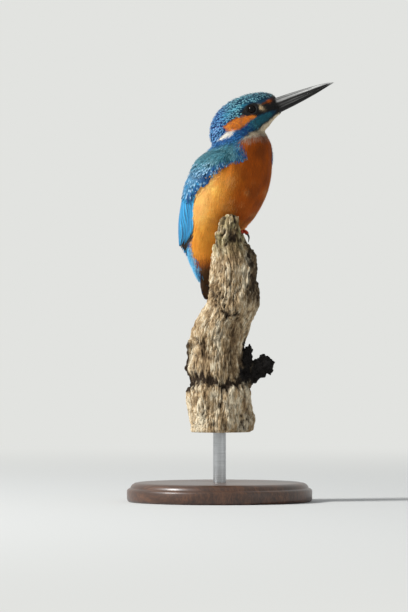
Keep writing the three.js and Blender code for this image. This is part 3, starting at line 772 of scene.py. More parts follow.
paint(skin_mesh, "coat_colour", markings(skin)[0] * SKIN_PAINTED_SHADE)


def plumage_finish(name, roughness, sheen, contrast):
    """Feather: its own colour, broken by fine noise, with barbs in low relief."""
    made, tree, shader = new_finish(
        name, Roughness=roughness, Specular_IOR_Level=0.3, Sheen_Weight=sheen, Sheen_Roughness=0.45
    )
    own = painted(tree, "coat_colour")
    fleck = grain(tree, (1500, 1500), 700, 4, 0.7)
    value = scaled(tree, fleck, 0.3, 0.7, 1 - contrast, 1 + contrast)
    varied = step(tree, "HueSaturation", {"Color": own, "Value": value, "Saturation": 1.05})
    tree.links.new(varied.outputs["Color"], shader.inputs["Base Color"])
    relief(tree, shader, fleck, 0.35, 0.12)
    return made


down = plumage_finish("soft_feather", 0.78, 0.06, 0.1)
glossy = plumage_finish("glossy_feather", 0.5, 0.05, 0.18)
skin_piece = fit("skin", skin_mesh, "feathers_orange", down, *flesh)

# The unwrap of the skin's own shape, where each feather has its place on the feather map.
bpy.context.view_layer.objects.active = skin_piece
skin_piece.select_set(True)
bpy.ops.object.mode_set(mode="EDIT")
bpy.ops.mesh.select_all(action="SELECT")
bpy.ops.uv.smart_project(angle_limit=math.radians(66), island_margin=0.002)
bpy.ops.object.mode_set(mode="OBJECT")
skin_piece.select_set(False)
unwrap = np.empty(len(skin_mesh.loops) * 2, np.float32)
skin_mesh.uv_layers.active.data.foreach_get("uv", unwrap)
skin_place = unwrap.reshape(-1, 4, 2).mean(1)

# ----------------------------------------------------------------------------------------------------
# Small feathers
# Contour feathers that grow out of the skin and lie back along it, each over the roots of the next:
# small round-tipped vanes on head and wings, loose hair-like ones on cheek, back, breast and belly.
# ----------------------------------------------------------------------------------------------------
COAT_LIMIT = 190_000  # most triangles in one piece
PATCH = 0.003  # size of a feather's patch on the feather map
VANE_THICK = 0.07
# Where the folded wing lies: height, front edge and back edge in degrees round from the breast.
WING = np.array([
    [50.5, 68, 128], [47, 60, 146], [42, 70, 156], [36, 80, 160], [31, 94, 163], [23, 109, 164],
    [19, 110, 163], [11, 101, 161], [5.5, 97, 159], [0, 93, 157], [-4, 96, 155], [-8, 112, 151],
    [-14, 132, 143],
])[::-1]
chance = np.random.default_rng(11)
skin_tree = BVHTree.FromPolygons(skin.tolist(), skin_quads.tolist())
quad_normals = unit(skin_normals[skin_quads].mean(1))
quad_middles = skin[skin_quads].mean(1)
spans = skin[skin_quads[:, 2:]] - skin[skin_quads[:, :2]]
quad_areas = 0.5 * np.linalg.norm(np.cross(spans[:, 0], spans[:, 1]), axis=1)


def on_skin(points):
    """The skin's nearest places to points, with its normals there and the quads hit."""
    hits = [skin_tree.find_nearest(point) for point in points.tolist()]
    index = np.array([hit[2] for hit in hits])
    return np.array([tuple(hit[0]) for hit in hits]), quad_normals[index], index


def roots(tract, spacing):
    """Feather roots spread evenly over a tract of the skin, as far apart as spacing."""
    field = np.flatnonzero(tract)
    share = quad_areas[field] / quad_areas[field].sum()
    tries = int(4 * quad_areas[field].sum() / spacing**2)
    picked = field[chance.choice(len(field), tries, p=share)]
    u, v = chance.random((2, tries, 1))
    a, b, c, d = (skin[skin_quads[picked, k]] for k in range(4))
    points = (1 - u) * ((1 - v) * a + v * d) + u * ((1 - v) * b + v * c)
    near = KDTree(tries)
    for index, point in enumerate(points.tolist()):
        near.insert(point, index)
    near.balance()
    free, kept = np.ones(tries, bool), []
    for index, point in enumerate(points.tolist()):
        if free[index]:
            kept.append(index)
            for _, other, _ in near.find_range(point, spacing * 0.82):
                free[other] = False
    return points[kept], quad_normals[picked[kept]], picked[kept]


def lie(points, normals):
    """The way the coat lies: back from the bill over the head, then down the body to the tail."""
    x = in_head(points)[:, 0]
    low = ramp((points - BIRD)[:, 2], 70, 56)
    turn = np.clip(np.maximum(ramp(x, -8, -28), low), 0, 1)[:, None]
    way = (1 - turn) * (-HEAD_AXES[0] - 0.12 * HEAD_AXES[2]) + turn * np.array([-0.29, 0, -1])
    way = unit(way - (way * normals).sum(1, keepdims=True) * normals)
    for side in eyes:  # parted round the eye
        toward = eyes[side] + EYE_LOOK[side] * LID_OUT - points
        near = ramp(np.linalg.norm(toward, axis=1), 6.5, 3.8)[:, None]
        toward = unit(toward - (toward * normals).sum(1, keepdims=True) * normals)
        aimed = np.clip((way * toward).sum(1, keepdims=True), 0, 1) * near
        past = np.cross(normals, toward)
        past *= np.sign((past * way).sum(1, keepdims=True) + 1e-6)
        way = unit(way - aimed * toward + 0.7 * aimed * past)
    return way


def swung(way, normals, degrees):
    """Turns each direction about its normal."""
    angle = np.radians(degrees)[:, None]
    return way * np.cos(angle) + np.cross(normals, way) * np.sin(angle)


def vanes(start, start_normals, way, length, width, lift, rows, columns, sink, camber, taper=0.5, ragged=0.0):
    """Bent blades that follow the skin: their points by feather, row and column, which way is up, and how far
    each point is along its blade and across it."""
    half = length[:, None] / 2
    middle, middle_normals, _ = on_skin(start + way * half)
    onward = middle - start
    onward = unit(onward - (onward * middle_normals).sum(1, keepdims=True) * middle_normals)
    end, end_normals, _ = on_skin(middle + onward * half)
    t = np.linspace(0, 1, rows)[None, :, None]
    across = np.linspace(-1, 1, columns)[None, None, :]
    t = t * (1 - 0.16 * across**2) * np.ones((len(start), 1, 1))
    if ragged:
        t = t * (1 + ragged * (chance.random((len(start), 1, columns)) - 0.6))
    t4 = t[..., None]
    first, second, third = (1 - t4) * (1 - 2 * t4), 4 * t4 * (1 - t4), t4 * (2 * t4 - 1)

    def along(a, b, c):
        return first * a[:, None, None] + second * b[:, None, None] + third * c[:, None, None]

    spine = along(start, middle, end)
    normal = unit(along(start_normals, middle_normals, end_normals))
    forward = (end - start)[:, None, None]
    sideways = unit(np.cross(normal, forward - (forward * normal).sum(-1, keepdims=True) * normal))
    row = np.linspace(0, 1, rows)[None, :, None]
    narrowed = np.sqrt(np.clip(1 - taper * ramp(row, 0.5, 1.02) ** 1.5, 0.02, 1))
    profile = (0.35 + 0.65 * ramp(row, 0, 0.35)) * narrowed
    spread = (across * profile * width[:, None, None] / 2)[..., None]
    rise = -sink + lift[:, None, None] * t**1.2 - camber * width[:, None, None] * (across * profile) ** 2
    return spine + sideways * spread + normal * rise[..., None], normal, t, across + 0 * t


def closed_faces(rows, columns):
    """Quads of one closed vane: its top, its underside turned over, and the rim between them."""
    top = rows_joined(rows, columns, False)[:, ::-1]
    count = rows * columns
    rim = np.concatenate([
        np.arange(columns), np.arange(1, rows) * columns + columns - 1,
        (rows - 1) * columns + np.arange(columns - 2, -1, -1), np.arange(rows - 2, 0, -1) * columns,
    ])
    after = np.roll(rim, -1)
    edge = np.stack([rim, after, after + count, rim + count], -1)
    return np.concatenate([top, top[:, ::-1] + count, edge])


def crisp_rims(mesh, rows, columns):
    """Marks the rims of closed vanes sharp, so that each shades as a thin flat blade."""
    ends = np.empty(len(mesh.edges) * 2, np.int32)
    mesh.edges.foreach_get("vertices", ends)
    ends = ends.reshape(-1, 2) % (2 * rows * columns)
    row, column = ends % (rows * columns) // columns, ends % columns
    on_rim = (row == 0) | (row == rows - 1) | (column == 0) | (column == columns - 1)
    one_face = (ends[:, 0] < rows * columns) == (ends[:, 1] < rows * columns)
    mesh.attributes.new("sharp_edge", "BOOLEAN", "EDGE").data.foreach_set("value", on_rim.all(1) & one_face)


def feather_map(mesh, places, t, across):
    """Each feather as a small patch at its root's place on the skin's unwrap."""
    uv = skin_place[places][:, None, None, :] + PATCH * np.stack([across * 0.5, t - 0.5], -1)
    layer = mesh.uv_layers.new(name="OFBake")
    index = np.empty(len(mesh.loops), np.int32)
    mesh.loops.foreach_get("vertex_index", index)
    layer.data.foreach_set("uv", uv.reshape(-1, 2)[index].astype(np.float32).ravel())


def coat(name, slot, material, places, points, t, across, colours, thick):
    """Joins feathers into pieces small enough to handle, each with its colours and its feather map. thick
    says that they are closed vanes, with both faces among their rows."""
    count, rows, columns = points.shape[:3]
    quads = closed_faces(rows // 2, columns) if thick else rows_joined(rows, columns, False)[:, ::-1]
    parts = math.ceil(count / (COAT_LIMIT // (2 * len(quads))))
    for part, group in enumerate(np.array_split(np.arange(count), parts)):
        faces = (quads[None] + (np.arange(len(group)) * rows * columns)[:, None, None]).reshape(-1, 4)
        label = f"{name}_{part + 1}" if parts > 1 else name
        mesh = mesh_of(label, points[group].reshape(-1, 3), faces)
        paint(mesh, "coat_colour", colours[group].reshape(-1, 3))
        feather_map(mesh, places[group], t[group], across[group])
        if thick:
            crisp_rims(mesh, rows // 2, columns)
        fit(label, mesh, slot, material)


def plumed(name, slot, material, tract, spacing, length, width, lift, rows=5, columns=5, blades=1, fan=0.0,
           tip=None, tip_from=0.7, tip_share=None, lean=0.0, uneven=0.13, only=None, **shape):
    """A tract of feathers. blades splits each into hair-like strands; tip names the colours at its end, at
    the front of the head and behind it; lean turns it backward; uneven is how much their tones differ."""
    start, normals, places = roots(tracts[tract], spacing)
    colour, _ = markings(start, only)
    count = len(start)
    lean_way = lean * np.sign((start - BIRD)[:, 1])
    way = swung(lie(start, normals), normals, lean_way + chance.normal(0, 6, count))
    tone = 1 + uneven * chance.standard_normal((count, 1))
    tipped = np.ones(count) if tip_share is None else (chance.random(count) < tip_share).astype(float)
    if blades > 1:
        repeat = np.repeat(np.arange(count), blades)
        angle = np.tile(np.linspace(-fan, fan, blades), count) + chance.normal(0, 3, count * blades)
        start, normals, places, colour, tone, tipped = (
            v[repeat] for v in (start, normals, places, colour, tone, tipped)
        )
        way = swung(way[repeat], normals, angle)
        sideways = np.cross(normals, way)
        start = start + sideways * (angle / max(fan, 1) * width * blades * 0.35)[:, None]
        tone = tone * (1 + 0.6 * uneven * chance.standard_normal(tone.shape))
    count = len(start)
    if tip is not None:
        behind = ramp(in_head(start)[:, 0], -4, -20)[:, None]
        tip_colour = PLUMAGE[tip[0]] + behind * (PLUMAGE[tip[1]] - PLUMAGE[tip[0]])
    long = length * (1 + 0.16 * chance.standard_normal(count)).clip(0.6, 1.4)
    points, up, t, across = vanes(
        start, normals, way, long, np.full(count, width), lift * (0.7 + 0.6 * chance.random(count)),
        rows, columns, **shape,
    )
    share = t[..., None]
    root = 0.82 if blades > 1 else 0.55
    colours = colour[:, None, None] * tone[:, None, None] * (root + (1.05 - root) * ramp(share, 0.1, 0.65))
    if blades > 1:
        colours = colours * (1 + 0.14 * ramp(share, 0.55, 1.0))
    if tip is not None:
        end = ramp(share, tip_from - 0.1, tip_from + 0.03) * tipped[:, None, None, None]
        if blades == 1:
            end = end * ramp(share, 1.0, 0.93) * ramp(np.abs(across[..., None]), 0.9, 0.3)
        end = end * (0.55 + 0.45 * tone[:, None, None].clip(0, 1))
        colours = colours + end * (tip_colour[:, None, None] - colours)
    if blades == 1:
        points = np.concatenate([points, points - VANE_THICK * up], axis=1)
        t, across, colours = (np.concatenate([v, v], axis=1) for v in (t, across, colours))
    coat(name, slot, material, places, points, t, across, np.clip(colours, 0, 1), thick=blades == 1)


def wing_edges(z):
    """The folded wing's front and back edges at a height."""
    return (np.interp(z, WING[:, 0], WING[:, k]) for k in (1, 2))


def tracts_of(points):
    """The tracts of the coat by name: which of the points on the skin belong to each."""
    at, head, turn = points - BIRD, in_head(points), round_body(points)
    z, x, up = at[:, 2], head[:, 0], head[:, 2]
    blue = markings(points)[1]
    eye = np.minimum(*(np.linalg.norm(points - eyes[s] - EYE_LOOK[s] * LID_OUT, axis=1) for s in eyes))
    on_head = z - 0.25 * np.minimum(x, 0) > 61.5

    # The head, apart from what the bill and the eyes take up.
    feathered = on_head & (x <= 15.6) & (eye >= 2.95)
    forehead = feathered & (x > 3) & (up > np.interp(x, [0, 6, 12, 15], [3.6, 3.4, 3.0, 2.4]))
    forehead &= (blue > 0.3) & (eye > 4.8)
    face = feathered & ~forehead & ((eye < 4.8) | ((x > 1) & (up < 3.4)) | (x > 9))
    behind = feathered & ~forehead & ~face
    crown = behind & (blue > 0.5) & (up > np.interp(x, [-30, -22, -17, -9, 2], [-13, -8, -1.6, -0.9, -3.0]))
    malar = behind & ~crown & (blue > 0.5)

    # The back, apart from what the quills of wing and tail cover.
    blue_edge = np.interp(z, BLUE_EDGE[:, 0], BLUE_EDGE[:, 1])
    wing_front, wing_back = wing_edges(z)
    back = ~on_head & (blue > 0.5)
    wing_tip = (z > -13) & (z < 27) & (turn > wing_front - 2) & (turn < wing_back - 3)
    stripe = back & (((turn > 150) & (z < 50)) | (z < 2)) & ~wing_tip & ~((z < -27) & (turn < 120))
    folded = back & ~stripe & (turn > blue_edge + 1)
    wing = folded & (z > 34) & (z < 46)
    tucked = (z > -6) & (z < 27) & (turn > wing_front - 5)
    front = ~on_head & ~back & ~tucked
    return {
        "face": face, "forehead": forehead, "crown": crown, "malar": malar, "cheek": behind & ~crown & ~malar,
        "mantle": back & ~stripe & ~wing & (z > 36), "stripe": stripe, "wing": wing,
        "low_wing": folded & (z > 25) & (z <= 36), "front": front,
        "flank_edge": front & (turn > blue_edge - 8) & (z > 24) & (z < 42),
    }


tracts = tracts_of(quad_middles)
HAIR = {"rows": 5, "columns": 2, "taper": 0.97, "sink": 0.1, "camber": 0.0}
plumed("face_feathers", "feathers_blue", down, "face", spacing=0.5, length=1.6, width=0.42, lift=0.4,
       columns=3, sink=0.03, camber=0.06, taper=0.85)
plumed("forehead_feathers", "feathers_blue", glossy, "forehead", spacing=0.78, length=2.2, width=0.95,
       lift=1.0, rows=6, tip=("crown_spot", "nape_spot"), tip_share=0.8, sink=0.04, camber=0.1)
plumed("crown_feathers", "feathers_blue", glossy, "crown", spacing=0.95, length=3.1, width=1.3, lift=1.35,
       rows=8, tip=("crown_spot", "nape_spot"), tip_from=0.74, tip_share=0.9, sink=0.08, camber=0.05,
       taper=0.7)
plumed("malar_feathers", "feathers_blue", glossy, "malar", spacing=0.72, length=2.4, width=0.85, lift=0.8,
       rows=6, tip=("malar_spot", "malar_spot_back"), tip_from=0.74, tip_share=0.4, sink=0.06, camber=0.1,
       taper=0.75)
plumed("cheek_feathers", "feathers_blue", down, "cheek", spacing=0.7, length=2.8, width=0.24, lift=0.8,
       blades=5, fan=12, **HAIR)
plumed("breast_feathers", "feathers_orange", down, "front", spacing=1.0, length=6.6, width=0.27, lift=1.15,
       blades=8, fan=15, uneven=0.06, only=0, **HAIR)
plumed("flank_wisps", "feathers_orange", down, "flank_edge", spacing=1.0, length=6.2, width=0.3, lift=1.7,
       blades=8, fan=9, tip=("flank_pale", "flank_pale"), tip_share=0.35, lean=12, uneven=0.07, only=0,
       **HAIR)
plumed("mantle_underlay", "feathers_blue", glossy, "mantle", spacing=1.2, length=4.4, width=1.7, lift=1.2,
       rows=6, only=1, ragged=0.2, sink=0.1, camber=0.12)
plumed("mantle_feathers", "feathers_blue", glossy, "mantle", spacing=1.0, length=4.6, width=0.3, lift=1.7,
       blades=6, fan=14, tip=("mantle_spot", "mantle_spot"), tip_from=0.66, tip_share=0.5, uneven=0.2, only=1,
       **HAIR)
plumed("back_stripe_feathers", "feathers_blue", glossy, "stripe", spacing=1.05, length=6.0, width=0.3,
       lift=1.6, blades=7, fan=9, tip=("azure_pale", "azure_pale"), tip_from=0.66, tip_share=0.6, only=1,
       **HAIR)
plumed("lesser_coverts", "feathers_wing", glossy, "wing", spacing=1.0, length=4.0, width=1.25, lift=1.7,
       rows=7, tip=("covert_spot", "covert_spot"), tip_from=0.78, tip_share=0.65, only=1, sink=0.08,
       camber=0.12, ragged=0.15)
plumed("median_coverts", "feathers_wing", glossy, "low_wing", spacing=1.5, length=5.0, width=1.8, lift=0.9,
       rows=7, tip=("covert_spot", "covert_spot"), tip_from=0.8, tip_share=0.45, only=1, sink=-1.35,
       camber=0.1, ragged=0.1)

# ----------------------------------------------------------------------------------------------------
# Flight feathers
# The folded wing's quills: stiff closed vanes on a shaft, stacked like a fan and lying down the flank,
# with azure outer webs and dark brown inner webs and tips. The body's feathers cover their roots.
# ----------------------------------------------------------------------------------------------------
PRIMARIES, SECONDARIES, GREATER_COVERTS = 10, 13, 17  # in each wing
PRIMARY_WIDE, SECONDARY_WIDE, COVERT_WIDE = 3.2, 3.3, 2.8
QUILL_ROWS, QUILL_COLUMNS, QUILL_THICK = 22, 9, 0.1


def on_wing(side, z, share):
    """A place on the folded wing's outer face, and its normal: height, and share from front to back edge."""
    front, back = wing_edges(z)
    rear, breast = (np.interp(z, BODY[:, 0], BODY[:, k]) for k in (1, 2))
    angle = math.radians(front + (back - front) * share)
    way = np.array([math.cos(angle), side * math.sin(angle), 0])
    middle = BIRD + [(rear + breast) / 2, 0, z]
    hit = skin_tree.ray_cast(Vector(middle + way * 60), Vector(-way))
    if hit[0] is None:  # past the skin's end: beside the body's middle
        return middle + way * 12, way
    return np.array(hit[0]), quad_normals[hit[2]]


def quill(line, normals, width, out, rounded):
    """One closed vane along a line on the body: both its faces, and how far along and across each point is.
    rounded is the share of its length that its tip takes up."""
    share = np.linspace(0, 1, QUILL_ROWS)
    at = np.linspace(0, 1, len(line))
    spine = np.stack([np.interp(share, at, line[:, k]) for k in range(3)], -1)
    normal = unit(np.stack([np.interp(share, at, normals[:, k]) for k in range(3)], -1))
    forward = unit(np.gradient(spine, axis=0))
    sideways = unit(np.cross(normal, forward))
    across = np.linspace(-1, 1, QUILL_COLUMNS)
    tip_round = np.sqrt(np.clip(1 - ramp(share, 1 - rounded, 1.0) ** 2, 0.01, 1))
    profile = (0.5 + 0.5 * ramp(share, 0, 0.25)) * tip_round
    torn = 1 + 0.05 * chance.standard_normal((QUILL_ROWS, 2)).clip(-2, 1)
    edges = np.where(across[None] < -0.9, torn[:, :1], np.where(across[None] > 0.9, torn[:, 1:], 1))
    spread = across[None] * (profile[:, None] * edges) * width / 2
    shaft = 0.14 * np.exp(-((across / 0.14) ** 2))
    rise = (out + 0.9) * ramp(share, 0, 0.22)[:, None] - 0.9 - (0.1 * width * across**2 - shaft)[None]
    top = spine[:, None] + sideways[:, None] * spread[..., None] + normal[:, None] * rise[..., None]
    under = top - normal[:, None] * QUILL_THICK
    return np.stack([top, under]), share[:, None] + 0 * across, across[None] + 0 * share[:, None]


def quill_set(name, feathers, paint_web):
    """Joins a set of quills into one piece: (line, normals, width, out, rounded share of its tip) for each.
    paint_web(t, across, number) gives the colours of a quill's upper face."""
    points, colours, ts, across_all, places = [], [], [], [], []
    for number, (line, normals, width, out, rounded) in enumerate(feathers):
        faces, t, across = quill(np.array(line), np.array(normals), width, out, rounded)
        web = paint_web(t, across, number)
        under_web = PLUMAGE["quill_under"] * (0.9 + 0.2 * np.cos(across * 3))[..., None]
        points.append(faces)
        colours.append(np.stack([web, np.broadcast_to(under_web, web.shape)]))
        ts.append(np.stack([t, t]))
        across_all.append(np.stack([across, across]))
        places.append(on_skin(np.array(line)[:1])[2][0])
    count, each = len(points), 2 * QUILL_ROWS * QUILL_COLUMNS
    quads = closed_faces(QUILL_ROWS, QUILL_COLUMNS)[None] + (np.arange(count) * each)[:, None, None]
    mesh = mesh_of(name, np.array(points).reshape(-1, 3), quads.reshape(-1, 4))
    paint(mesh, "coat_colour", np.clip(np.array(colours), 0, 1).reshape(-1, 3))
    ts, across_all = (np.array(v).reshape(count, 2 * QUILL_ROWS, QUILL_COLUMNS) for v in (ts, across_all))
    feather_map(mesh, np.array(places), ts, across_all)
    crisp_rims(mesh, QUILL_ROWS, QUILL_COLUMNS)
    return fit(name, mesh, "feathers_wing", glossy)


def wing_line(side, start, end, bow=0.0):
    """A line on the wing from (height, share) to (height, share)."""
    places = []
    for t in np.linspace(0, 1, 16):
        z = start[0] + (end[0] - start[0]) * t
        share = start[1] + (end[1] - start[1]) * t + bow * math.sin(math.pi * t)
        places.append(on_wing(side, z, min(max(share, 0.0), 1.0)))
    line, normals = (np.array(part) for part in zip(*places))
    for _ in range(5):
        line[1:-1] = (line[:-2] + 2 * line[1:-1] + line[2:]) / 4
        normals[1:-1] = unit(normals[:-2] + 2 * normals[1:-1] + normals[2:])
    return line, normals


def wing_web(front_sign, count, brown_from, brown=1.0):
    """Azure on the web that faces the wing's front edge, brown on the other and towards the tip. The last of
    the count quills, which lies on top, is blue on both."""
    def web(t, across, number):
        outer = ramp(front_sign * across, -0.65, -0.25)[..., None] if number < count - 1 else 1.0
        outer = 1 - brown * (1 - outer)
        colour = PLUMAGE["quill_brown"] + outer * (PLUMAGE["quill_blue"] - PLUMAGE["quill_brown"])
        edge = ramp(front_sign * across, 0.1, 0.7)[..., None]
        colour = colour + edge * 0.75 * (PLUMAGE["azure"] - colour)
        rim = ramp(front_sign * across, 0.8, 0.98)[..., None] * ramp(t, 0.15, 0.4)[..., None]
        colour = colour + rim * 0.45 * (PLUMAGE["azure_pale"] - colour)
        dark = ramp(t, brown_from, brown_from + 0.09)[..., None]
        colour = colour + dark * (PLUMAGE["quill_brown"] - colour)
        shaft = np.exp(-((across / 0.1) ** 2))[..., None]
        barbs = 1 + 0.1 * np.sin(t * 150 + np.abs(across) * 9)[..., None]
        return colour * (1 - 0.7 * shaft) * barbs * (1 + 0.1 * math.sin(number * 2.3))
    return web


# Each quill runs from a root to a tip, given as (height, share of the way from front to back edge).
for side, name in ((1, "left"), (-1, "right")):
    primaries = []
    for k in range(PRIMARIES):
        lines = wing_line(side, (24 - 0.6 * k, 0.02 + 0.05 * k), (-13.6 + 0.8 * k, 0.10 + 0.06 * k))
        primaries.append((*lines, PRIMARY_WIDE, 0.7 + 0.03 * k, 0.34))
    quill_set("primaries_" + name, primaries, wing_web(-side, PRIMARIES, 0.5))
    secondaries = []
    for k in range(SECONDARIES):
        end = (-7.6 + 0.14 * (k - 7) ** 2, 0.04 + 0.075 * k)
        lines = wing_line(side, (34 - 0.35 * k, 0.02 + 0.074 * k), end, 0.01 * math.sin(k * 2.1))
        secondaries.append((*lines, SECONDARY_WIDE, 1.2 + 0.05 * k, 0.38))
    quill_set("secondaries_" + name, secondaries, wing_web(-side, SECONDARIES, 0.95))
    greater = []
    for k in range(GREATER_COVERTS):
        drop = 18.5 + 0.9 * math.sin(k * 1.9) + 0.3 * k
        lines = wing_line(side, (36, 0.02 + 0.058 * k), (drop, 0.03 + 0.057 * k))
        greater.append((*lines, COVERT_WIDE, 1.6 + 0.012 * k, 0.4))
    quill_set("greater_coverts_" + name, greater, wing_web(-side, GREATER_COVERTS, 0.95, 0.4))

# ----------------------------------------------------------------------------------------------------
# Tail
# Twelve short stiff quills in a closed fan, slightly roofed, with the middle pair on top. They are deep
# blue above and dull dark brown beneath, and grow from the end of the body.
# ----------------------------------------------------------------------------------------------------
TAIL_QUILLS, TAIL_WIDE = 12, 4.8  # how many, and how wide each is
FAN_ROOT = 4.2  # half width of the fan at its root
WEB_OUT = 1.9  # how far the outer webs pass their shafts
tail_low, tail_high = (np.array(corner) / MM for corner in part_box("tail"))
fan_end = (tail_high[1] - tail_low[1]) / 2 - WEB_OUT


def tail_web(t, across, _):
    """Deep blue, duller towards the tip."""
    colour = PLUMAGE["tail_blue"] * (1 - 0.35 * ramp(t, 0.7, 1.0))[..., None]
    shaft = np.exp(-((across / 0.1) ** 2))[..., None]
    return colour * (1 - 0.6 * shaft) * (1 + 0.08 * np.sin(t * 140 + np.abs(across) * 8))[..., None]


tail_quills = []
for side in (np.arange(TAIL_QUILLS) - (TAIL_QUILLS - 1) / 2) / ((TAIL_QUILLS - 1) / 2):
    line = []
    end = tail_low[2] + 4.2 * abs(side) ** 4  # the outer quills are shorter
    for t in np.linspace(-0.25, 1, 10):
        spread = side * (FAN_ROOT + (fan_end - FAN_ROOT) * min(1, max(t, 0) * 1.3))
        back = -34.0 + 2.0 * t + 1.2 * side**2
        line.append([BIRD[0] + back, BIRD[1] + spread, tail_high[2] + (end - tail_high[2]) * t])
    normals = np.tile(unit(np.array([-1.0, 0.12 * side, 0.0])), (10, 1))
    tail_quills.append((line, normals, TAIL_WIDE, 0.75 - 1.3 * abs(side), 0.14))
tail_piece = quill_set("tail_quills", tail_quills, tail_web)
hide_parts("tail")

# ----------------------------------------------------------------------------------------------------
# Eyes
# Wet, very dark brown eyeballs with a wide pupil, set deep between the lids. The cornea bulges a little
# from the ball and takes a small bright reflection.
# ----------------------------------------------------------------------------------------------------
EYE_AROUND, EYE_RINGS = 48, 32
EYE_SUNK = 0.06  # how far the ball lies inside the solid
CORNEA_RISE, CORNEA_WIDE = 0.14, 0.6  # in millimetres, and in radians from the middle of the eye
RIM_RING, RIM_OUT = 2.72, 1.82  # the lid's bare inner rim
RIM_THICK, RIM_RIDGES = 0.32, 24
eyeball, tree, shader = new_finish("wet_eye", Roughness=0.04, Specular_IOR_Level=0.12)
ring_mark = step(tree, "SeparateColor", {"Color": painted(tree, "iris")}).outputs["Red"]
iris = stained(
    tree, ring_mark, (0.0, tint(5, 4, 4)), (0.42, tint(6, 5, 4)), (0.5, tint(22, 14, 10)),
    (0.85, tint(16, 10, 8)), (1.0, tint(7, 6, 5)),
)
tree.links.new(iris, shader.inputs["Base Color"])
lid_skin, tree, shader = new_finish("lid_skin", Roughness=0.55)
wrinkles = grain(tree, (1200, 1200), 1200, 3)
bare_skin = stained(tree, wrinkles, (0.3, tint(14, 13, 13)), (0.7, tint(40, 36, 33)))
tree.links.new(bare_skin, shader.inputs["Base Color"])
relief(tree, shader, wrinkles, 0.4, 0.08)
for side in eyes:
    low, high = (np.array(corner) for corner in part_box("eye_" + side))
    radius = (high - low).max() / 2 / MM - EYE_SUNK
    one, two = round_eye(side)
    turns = np.arange(EYE_AROUND) * 2 * np.pi / EYE_AROUND
    spokes = np.cos(turns)[:, None] * one + np.sin(turns)[:, None] * two
    rings, iris_marks = [], []
    for polar in np.linspace(math.pi - 0.05, 0.03, EYE_RINGS):
        bulge = CORNEA_RISE * math.exp(-((polar / CORNEA_WIDE) ** 2))
        outward = math.cos(polar) * EYE_LOOK[side] + math.sin(polar) * spokes
        rings.append(eyes[side] + (radius + bulge) * outward)
        iris_marks += [min(polar, 1.0)] * EYE_AROUND
    mesh = tube("eye_" + side, rings)
    paint(mesh, "iris", iris_marks + [1.0, 0.0])
    fit("eyeball_" + side, mesh, "eye", eyeball, "eye_" + side)
    rim = eye_ring(
        "eyelid_" + side, side, 72, 14, RIM_RING, RIM_OUT,
        lambda turn: RIM_THICK + 0.03 * math.sin(turn * RIM_RIDGES),
    )
    fit("eyelid_" + side, rim, "eye", lid_skin)

# ----------------------------------------------------------------------------------------------------
# Bill
# A long dagger of black horn in two halves that meet at a fine mouth line, with a slit nostril on each
# side of its root. The upper half carries a painted highlight, a grey sheen beside its rounded ridge.
# ----------------------------------------------------------------------------------------------------
MOUTH_SLOPE = math.radians(3)
MOUTH_GAP = 0.12
BILL_STATIONS, HALF_AROUND, MOUTH_AROUND = 70, 22, 4  # rings, and each ring's points outside and at the mouth
NOSTRIL_X, NOSTRIL_LONG, NOSTRIL_HIGH, NOSTRIL_DEEP = 17.6, 2.0, 0.45, 0.55
HEAD_TURN = math.radians(30)  # how far the bill points to the bird's left
BILL = np.array([  # ahead of the eyes, ridge, keel, half width
    [10, 2.8, -7.5, 4.5], [16, 2.3, -7.2, 4], [24, 1.8, -6.6, 3.2], [32, 1.1, -5.8, 2.5],
    [40, 0.3, -4.8, 1.8], [46, -0.5, -3.8, 1.2], [50, -1.3, -3.1, 0.8], [53, -2.2, -2.6, 0.2],
])


def horn_wear_and_highlight(x, upper):
    """How pale the horn is painted round one half of the bill: a grey sheen beside the ridge as a painted
    highlight, and pale lips and tip.
    """
    sign = np.linspace(-1, 1, HALF_AROUND)
    share = np.abs(sign)  # 0 on the ridge or keel, 1 at the mouth line
    sheen = 0.0 * share
    # The sheen is a painted highlight on the upper half, split by a dark line nearer the root and brighter
    # towards the tip.
    if upper:
        split = 1 - 0.8 * np.exp(-(((share - 0.43) / 0.04) ** 2)) * ramp(x, 40, 32)
        sheen = (0.3 + 0.7 * ramp(share, 0.24, 0.38)) * ramp(share, 0.72, 0.6) * split
        sheen *= 0.5 + 0.4 * ramp(x, 16, 34)
        sheen *= np.where(sign < -0.2, 0.6, 1.0)  # its left side has a weaker painted highlight
    lip = 0.5 * np.exp(-(((share - 0.95) / 0.04) ** 2)) * ramp(x, 15, 18) * ramp(x, 44, 30)
    return list(np.clip(sheen + lip + 0.3 * ramp(x, 48, 51), 0, 1))


